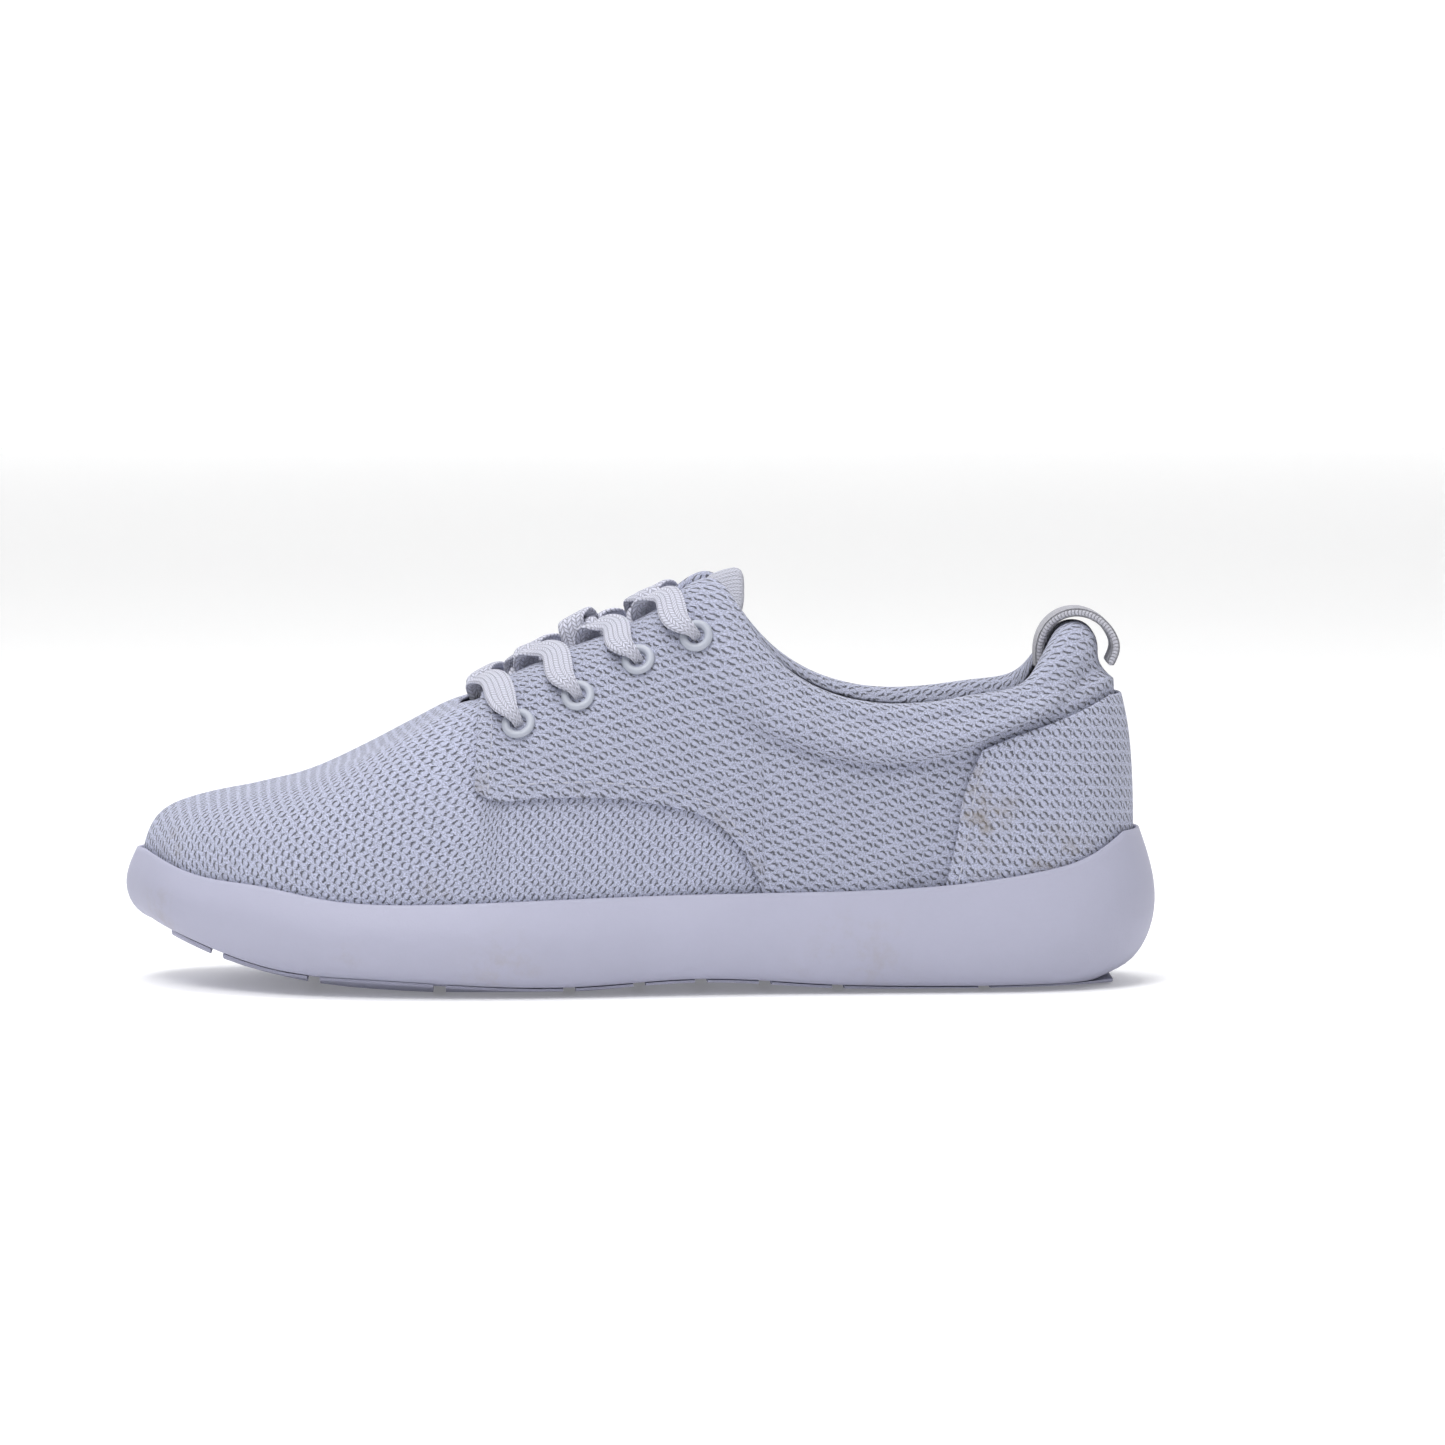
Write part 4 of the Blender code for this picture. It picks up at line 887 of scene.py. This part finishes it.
def sole_half(t, s):
    """Half a section of the midsole at column `s`, from its inner floor over the rim to its underside."""
    edge, into = outline(s), inward(s)
    lip_in = float(inset(s) - wall_gap(s))
    lip_out = lip_in - LIP
    under = 6.0 + 5.0 * float(1 - ramp(t, 0.0, 0.12)) + 9.5 * float(ramp(t, 0.86, 0.98))
    low = float(sole_edge((edge + into * under)[0]))
    high = float(rim_height(edge[0]))
    floor = float(footbed_height((edge + into * lip_in)[0]))
    tall = high - low
    knots = (
        (lip_out + 0.1, high - 0.1), (0.42 * lip_out, high - 0.2 * tall), (0.05, high - 0.45 * tall),
        (0.14 * under, low + 0.26 * tall), (0.5 * under, low + 0.08 * tall), (under, low),
    )
    profile = [
        (lip_in, floor), (lip_in, floor * 0.4 + high * 0.6), (lip_in, high - 0.7),
        (lip_in - 0.12, high - 0.25), (lip_in - 0.45, high - 0.02),
        *spline(knots, chord_keys(knots))(np.linspace(0, 1, 26)),
    ]
    return [np.append(edge + into * reach, z) for reach, z in profile]


def make_midsole(material_):
    """The foam sole, with many more stations and a rounder section than the CAD solid."""
    tip = np.array([0.0001, 0.0008, 0.002])
    rings = []
    for t in np.concatenate([tip, np.linspace(0.004, 0.996, 230), 1 - tip[::-1]]):
        lateral, medial = sole_half(t, t), sole_half(t, 2 - t)
        ring = list(lateral)
        for k in (0.08, 0.2, 0.35, 0.5, 0.65, 0.8, 0.92):
            middle = lateral[-1] * (1 - k) + medial[-1] * k
            middle[2] += (float(sole_centre(middle[0])) - middle[2]) * (1 - (2 * k - 1)**4)
            ring.append(middle)
        ring += medial[::-1]
        for k in (0.75, 0.5, 0.25):
            ring.append(lateral[0] * (1 - k) + medial[0] * k)
        rings.append(ring)
    made = tube("sole_foam", rings, material_, body=None)
    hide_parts("midsole")
    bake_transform(made)


def both_sides(t):
    """Columns of one side, from the rear to the toe, and on to their twins."""
    return np.concatenate([t[:0:-1], -t])


def make_vamp(mesh_material, lining_material):
    """The toe and fore part, which runs back under the quarters, and its lining."""
    s = both_sides(np.concatenate([np.linspace(0, 0.12, 60), np.linspace(0.123, SIDE_COLUMN, 210)]))
    fade = ramp(along(s), FRONT_COLUMN + 0.004, FRONT_COLUMN + 0.03)
    top = VAMP_TOP * (1 - fade) + climb_to(s, lambda x: quarter_edge(x) + 8.0) * fade
    v = spread(0 * s, top, 84)
    grid = np.broadcast_to(s[:, None], v.shape)
    made, face = cloth_piece("toe_mesh", grid, v, -0.2, FABRIC, mesh_material, wavy=0.14, body=None)
    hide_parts("vamp")
    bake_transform(made)
    s = both_sides(np.linspace(0, FRONT_COLUMN + 0.02, 120))
    v = spread(0 * s, 0 * s + VAMP_TOP, 40)
    grid = np.broadcast_to(s[:, None], v.shape)
    made, _ = cloth_piece("toe_lining", grid, v, LINING - lining_depth(grid, v), LINING, lining_material,
                          padded=False, body=None, wavy=0.05)
    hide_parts("vamp_lining")
    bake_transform(made)


def quarter_grid(side, low_of, curl, rows=(70, 44, 26)):
    """Columns and climbs of one quarter: its wall, its padded roll, and the curl over the top edge."""
    t = np.concatenate([FRONT_COLUMN + np.array([0, 0.0006, 0.0015, 0.003]),
                        np.linspace(FRONT_COLUMN + 0.005, 1 - 0.0012, 250)])
    s = mirror(t, side)
    seam = climb_to(s, roll_seam)
    low = low_of(s)
    first = np.array([0.0, 0.004, 0.010, 0.02, 0.03])
    wall = low[:, None] + (seam - low)[:, None] * np.concatenate([first, np.linspace(0.045, 1, rows[0])])
    roll = spread(seam, np.ones_like(s), rows[1])[:, 1:-1]
    over = 1 + (curl - 1) * np.concatenate([np.linspace(0, 0.93, rows[2]), [0.96, 0.98, 0.992, 1.0]])
    v = np.concatenate([wall, roll, np.broadcast_to(over, (len(s), len(over)))], 1)
    return np.broadcast_to(s[:, None], v.shape), v


def quarter_low(s):
    """Climb of the quarter's lower edge."""
    return np.where(feather(s)[:, 0] > 34.5, 0.0, climb_to(s, quarter_edge))


def quarter_hem(points):
    """The folded band along the front and lower edges."""
    below = np.where(points[:, :1, 0] < HEM_END, lengths(points, 1), 99.0)
    return 0.38 * (1 - ramp(np.minimum(lengths(points, 0), below), 5.6, 6.6))


def make_quarter(side, word, mesh_material, lining_material, thread_material):
    """One side panel with its two rows of stitches, and its lining."""
    grid, v = quarter_grid(side, quarter_low, 1.82)
    wall = np.minimum(v, 1)
    covered = under_heel_panel(grid, wall)
    place = last_surface(grid, wall)
    off_seam = place[..., 2] - roll_seam(place[..., 0]) + 1.0
    crease = np.exp(-(off_seam / 2.4)**2) * ramp(place[..., 0], 4, 22)
    outer = 0.2 + FABRIC - 1.8 * covered - 0.9 * crease * (1 - covered)
    made, face = cloth_piece(f"quarter_mesh_{word}", grid, v, outer, FABRIC, mesh_material,
                             (f"quarter_{word}",), hem=quarter_hem)
    normal = normals_of(face, (20.0, 0.0, 50.0))
    gone, rise = lengths(face, 0), lengths(face, 1)
    front = [(np.argmin(np.abs(gone[:, j] - 4.6)), j) for j in range(5, face.shape[1] - 34, 3)]
    low = [(i, np.argmin(np.abs(rise[i] - 4.6))) for i in range(8, len(face), 2)
           if -41.0 < face[i, 0, 0] < HEM_END]
    for label, path in (("front", front), ("low", low)):
        i, j = np.array(path).T
        stitches(f"stitch_{label}_{word}", face[i, j], normal[i, j], thread_material)
    grid, v = quarter_grid(side, lambda s: 0 * s, 1.0001, (60, 34, 4))
    v = np.minimum(v, 0.955 + 0.044 * ramp(along(grid), ANKLE_COLUMN, SIDE_COLUMN))
    keep = along(grid[:, 0]) > FRONT_COLUMN + 0.025
    grid, v = grid[keep][:, :-6], v[keep][:, :-6]
    cloth_piece(f"lining_mesh_{word}", grid, v, LINING - lining_depth(grid, v), LINING, lining_material,
                (f"quarter_lining_{word}",), padded=False, wavy=0.08)


def heel_hem(points):
    """The folded band along the heel panel's two front edges."""
    near = np.minimum(lengths(points, 0), lengths(points[::-1], 0)[::-1])
    return 0.25 * (1 - ramp(near, 4.6, 5.6))


def make_heel_panel(mesh_material, thread_material):
    """The panel round the heel, with a row of stitches down each front edge."""
    rows = edge_spaced(56)
    half = edge_spaced(110)
    grid = np.zeros((len(half), len(rows)))
    low, high = HEEL_EDGE_HEIGHTS
    for j, share in enumerate(rows):
        front = column_at(float(heel_front(low + (high - low) * share)), -1)
        grid[:, j] = front + (1 - front) * half**0.9
    grid = np.concatenate([grid[:-4], [grid[-1]], (2 - grid)[-5::-1]])
    v = rows * (climb_to(grid, roll_seam) - 0.05)
    made, face = cloth_piece("heel_mesh", grid, v, 0.3 + FABRIC, FABRIC, mesh_material, ("heel_panel",),
                             wavy=0.08, hem=heel_hem)
    normal = normals_of(face, (60.0, 0.0, 50.0))
    pick = np.arange(4, face.shape[1] - 4)
    for label, line, out in (("lateral", face, normal), ("medial", face[::-1], normal[::-1])):
        i = np.argmin(np.abs(lengths(line, 0) - 3.4), axis=0)[pick]
        stitches(f"stitch_heel_{label}", line[i, pick], out[i, pick], thread_material)


def make_tongue(material_):
    """The padded tongue, from its sewn base to the tip past the throat."""
    places = np.linspace(FRONT_COLUMN + 0.003, ANKLE_COLUMN, 60)
    sections = [tongue_section(places[0], reach) for reach in np.linspace(-14, -0.6, 14)]
    sections += [tongue_section(t) for t in places]
    sections += [tongue_section(places[-1], reach) for reach in (0.6, 1.5, 3, 4.5, 6, 7.5, 9, 9.8, 10.4)]
    share = edge_spaced(44, (0.0, 0.004, 0.01, 0.018))
    grid = np.stack([spline(row, np.linspace(0, 1, 9))(share) for row in sections])
    kernel = np.array([1, 3, 5, 3, 1]) / 13
    for _ in range(3):
        longer = np.concatenate([grid[:1], grid[:1], grid, grid[-1:], grid[-1:]])
        grid = sum(kernel[k] * longer[k:k + len(grid)] for k in range(5))
    normal = unit(np.cross(np.gradient(grid, axis=0), np.gradient(grid, axis=1)))
    normal *= np.sign(normal[..., 2:3])
    middle = grid - 2.7 * normal
    reach = TONGUE_THICKNESS / 2 - rounded(middle, TONGUE_THICKNESS)
    puff = 0.5 * np.sin(math.pi * share)[None, :]
    face = middle + normal * (reach + puff + soften(middle, 0.12))[..., None]
    back = middle - normal * reach[..., None]
    made = slab("tongue_pad", face, back, material_, flattened(middle), "tongue")
    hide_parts("tongue_cover", "tongue_foam", "tongue_lining")


def make_collar_pad(material_):
    """The collar's foam, seen only in the gap between the curled cloth and the lining."""
    t = np.linspace(column_at(38.0, -1), 1, 90)
    s = np.concatenate([t, (2 - t)[-2::-1]])[:, None]
    low = climb_to(s, roll_seam)
    roll = low + (1 - low) * np.linspace(0.25, 1, 8)
    outer = np.concatenate([roll, np.broadcast_to((1.12, 1.24, 1.36, 1.48), (len(s), 4))], 1)
    back = roll[:, ::-1]
    depth = lining_depth(s + 0 * back, back)
    outside = layer(s + 0 * outer, outer, -0.7)
    inside = layer(s + 0 * back, np.minimum(back, 0.97), LINING + 0.5 - depth, False)
    made = tube("collar_padding", np.concatenate([outside, inside], 1), material_)
    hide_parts("collar_foam")


def make_insole(name, bottom, thickness, margin, rise, material_, replaces):
    """A flat layer over the footbed, its edge rounded and raised by `rise`."""
    rings = []
    for t in np.linspace(0.012, 0.988, 150):
        sides = []
        for s in (t, 2 - t):
            foot = feather(s) + inward(s) * margin
            sides.append(np.append(foot, footbed_height(foot[0]) + bottom))
        ring = [sides[0] * (1 - k) + sides[1] * k for k in np.linspace(0, 1, 13)]
        for k in (1.0, *np.linspace(0.985, 0.015, 17), 0.0):
            lifted = sides[0] * (1 - k) + sides[1] * k
            lifted[2] += thickness + rise * (2 * k - 1)**6 - (0.9 if k in (0.0, 1.0) else 0.0)
            ring.append(lifted)
        rings.append(ring)
    made = tube(name, rings, material_, np.array(rings) * (1, 1, 0), body=None)
    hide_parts(replaces)
    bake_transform(made)
    return made


def make_eyelets(material_):
    """Rings with a round rim outside, a barrel through the cloth and a turned foot behind it."""
    rim = 1.75
    profile = [(EYELET_HOLE, rim - 0.1)]
    for turn in np.linspace(180, 0, 13):
        angle = math.radians(turn)
        profile.append((3.6 + 1.22 * math.cos(angle), rim + 0.98 * math.sin(angle)**0.8))
    profile += [
        (4.75, rim - 0.05), (EYELET_BARREL, rim - 0.05), (EYELET_BARREL, -3.8), (3.75, -3.8),
        (3.7, -4.15), (3.4, -4.35), (2.5, -4.4), (EYELET_HOLE, -4.2),
    ]
    for side, word in ((-1, "lateral"), (1, "medial")):
        for number, (x, z) in enumerate(EYELETS, 1):
            s, v = find_on_last(x, z, side)
            place, normal = last_surface(s, v), directions(s, v)[0]
            made = lathe(f"eyelet_ring_{word}_{number}", profile, place, normal, material_)
            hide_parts(f"eyelet_{word}_{number}")


def lace_route():
    """Rows of centre, width, thickness and width direction, one for each stop of the lace."""
    half = (*LACE_PASSAGE * 3, *LACE_PASSAGE[:11], *(LACE_FLAT,) * 12)
    sizes = np.array([*half[::-1], LACE_FLAT, *half])
    between = np.hstack([LACE_PATH, np.tile(LACE_ACROSS, (len(LACE_PATH), 1))])
    stops = np.vstack([LACE_TAIL, between, LACE_TAIL[::-1] * (1, -1, 1, 1, -1, 1)])
    return np.hstack([stops[:, :3], sizes, stops[:, 3:]])


def smooth_lace():
    """Centre, width, thickness and width direction at even steps along the lace."""
    route = lace_route()
    fine = spline(route, chord_keys(route[:, :3]))(np.linspace(0, 1, 6000))
    run = lengths(fine[:, :3], 0)
    even = np.arange(0, run[-1], LACE_STEP)
    fine = np.stack([np.interp(even, run, column) for column in fine.T], -1)
    kernel = np.exp(-0.5 * (np.arange(-6, 7) * LACE_STEP / LACE_BLUR)**2)
    kernel /= kernel.sum()
    wide = np.pad(fine, ((6, 6), (0, 0)), mode="edge")
    fine = sum(kernel[k] * wide[k:k + len(fine)] for k in range(13))
    run = lengths(fine[:, :3], 0)
    spare = (run[-1] - LACE_LENGTH) / 2
    return fine[(run >= spare) & (run <= run[-1] - spare)]


def make_lace(material_, tip_material):
    """The flat lace, thicker along its middle and bunched where it is narrow, and its two tips."""
    stations = smooth_lace()
    centre = stations[:, :3]
    travel = unit(np.gradient(centre, axis=0))
    across = stations[:, 5:]
    across = unit(across - (across * travel).sum(-1, keepdims=True) * travel)
    up = np.cross(travel, across)
    wide, thick = stations[:, 3:4] / 2, stations[:, 4:5] / 2
    run = lengths(centre, 0)
    rings, cloth = [], []
    bunch = np.clip((LACE_FLAT[0] - stations[:, 3:4]) / 4.5, 0, 1)
    for turn in np.linspace(0, 2 * math.pi, 27)[:-1]:
        a = np.sign(math.cos(turn)) * abs(math.cos(turn))**0.55
        b = math.sin(turn) * (1.15 + 0.25 * (1 - a * a))
        fold = 0.35 * bunch * math.cos(3 * math.pi * a) * np.sign(b) * (1 - a * a)
        rings.append(centre + across * wide * a + up * thick * (b + fold))
        cloth.append(np.stack([run, LACE_FLAT[0] / 2 * a + 0 * run, 0 * run], -1))
    made = tube("shoelace", np.stack(rings, 1), material_, np.stack(cloth, 1))
    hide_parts("lace")
    profile = [
        (0.0, 0.0), (1.5, 0.0), (1.72, 0.3), (1.8, 0.8), (1.8, 15.3), (1.6, 15.8), (1.2, 16.0), (0.0, 16.0),
    ]
    for word, end, way in (("first", 0, -travel[0]), ("second", -1, travel[-1])):
        tip = lathe(f"lace_tip_{word}", profile, centre[end] + way * CLEARANCE, way, tip_material, 24)
        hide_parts(f"aglet_{word}")


def make_pull_tab(material_):
    """A folded strap over the back of the collar."""
    path = (
        (114.0, 90.0), (114.0, 98.0), (117.0, 104.2), (121.8, 107.4), (126.8, 108.0), (132.0, 106.2),
        (136.6, 101.6), (138.2, 96.6), (137.2, 93.0), (136.2, 91.0),
    )
    line = spline(path, chord_keys(path))(np.linspace(0, 1, 90))
    tangent = unit(np.gradient(line, axis=0))
    inside = line + TAB_THICKNESS * np.stack([tangent[:, 1], -tangent[:, 0]], -1)
    middle = (line + inside) / 2
    across = edge_spaced(22, (0.0, 0.008, 0.02, 0.04)) * TAB_WIDTH - TAB_WIDTH / 2
    centre = np.array([[(x, y, z) for y in across] for x, z in middle])
    half = np.array([[(x, 0.0, z) for _ in across] for x, z in line - middle])
    share = 1 - rounded(centre, TAB_THICKNESS)[..., None] / (TAB_THICKNESS / 2)
    cloth = np.stack([lengths(centre, 0), centre[..., 1], 0 * centre[..., 1]], -1)
    made = slab("heel_loop", centre + half * share, centre - half * share, material_, cloth)
    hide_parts("pull_tab")


bpy.context.scene.view_settings.view_transform = "Standard"
make_camera()
make_studio()

sole_foam = foam("sole_foam", FOAM, spots=STAINS_SOLE)
tread = foam("tread_foam", shade(FOAM, 0.98), 0.7)
# One mesh colour in three copies: the toe's is 2% lighter as painted light, the sides' 6% darker as painted
# shade.
toe_mesh = ring_mesh("toe_mesh", shade(MESH, 1.02), 3.0, 45.0, 75.0, STAINS_TOE)
side_mesh = ring_mesh("side_mesh", shade(MESH, 0.94), 3.4, -21.0, 40.0, STAINS_SIDE)
heel_mesh = ring_mesh("heel_mesh", MESH, 3.4, -12.0, 40.0, STAINS_HEEL)
tongue_cloth = herringbone("tongue_cloth", (0.60, 0.61, 0.72), 0.9)
lining_mesh = fine_mesh("lining_mesh", (0.36, 0.355, 0.345))
insole_cloth = fine_mesh("insole_cloth", (0.40, 0.40, 0.43), 1.2)
board_cloth = fine_mesh("board_cloth", (0.42, 0.40, 0.36), 1.0)
pad_foam = foam("pad_foam", (0.42, 0.415, 0.40), 0.9)
sheet_plastic = plastic("sheet_plastic", (0.4, 0.39, 0.38), 0.6)
eyelet_plastic = plastic("eyelet_plastic", (0.40, 0.425, 0.50))
tip_plastic = plastic("tip_plastic", (0.62, 0.63, 0.68), 0.2)
lace_weave = herringbone("lace_weave", (0.68, 0.69, 0.82))
tab_weave = herringbone("tab_weave", (0.55, 0.55, 0.62), 1.0)
white_thread = thread("white_thread", (0.55, 0.56, 0.66))

make_midsole(sole_foam)
make_vamp(toe_mesh, lining_mesh)
for side, word in ((-1, "lateral"), (1, "medial")):
    make_quarter(side, word, side_mesh, lining_mesh, white_thread)
make_heel_panel(heel_mesh, white_thread)
make_tongue(tongue_cloth)
make_collar_pad(pad_foam)
insole = make_insole("insole_pad", 0.4 + BOARD + CLEARANCE, INSOLE, 5.8, 2.0, insole_cloth, "insole")
make_insole("sole_board", 0.4, BOARD, 5.4, 0.0, board_cloth, "strobel_board")
make_eyelets(eyelet_plastic)
make_lace(lace_weave, tip_plastic)
make_pull_tab(tab_weave)

# CAD solids that are shown as they are, with a material of their own.
shown = {"outsole_pad": tread, "toe_puff": sheet_plastic, "heel_counter": sheet_plastic,
         "eyestay": sheet_plastic}
for name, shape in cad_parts.items():
    for start, finish in shown.items():
        if name.startswith(start):
            shape.data.materials.clear()
            shape.data.materials.append(finish)

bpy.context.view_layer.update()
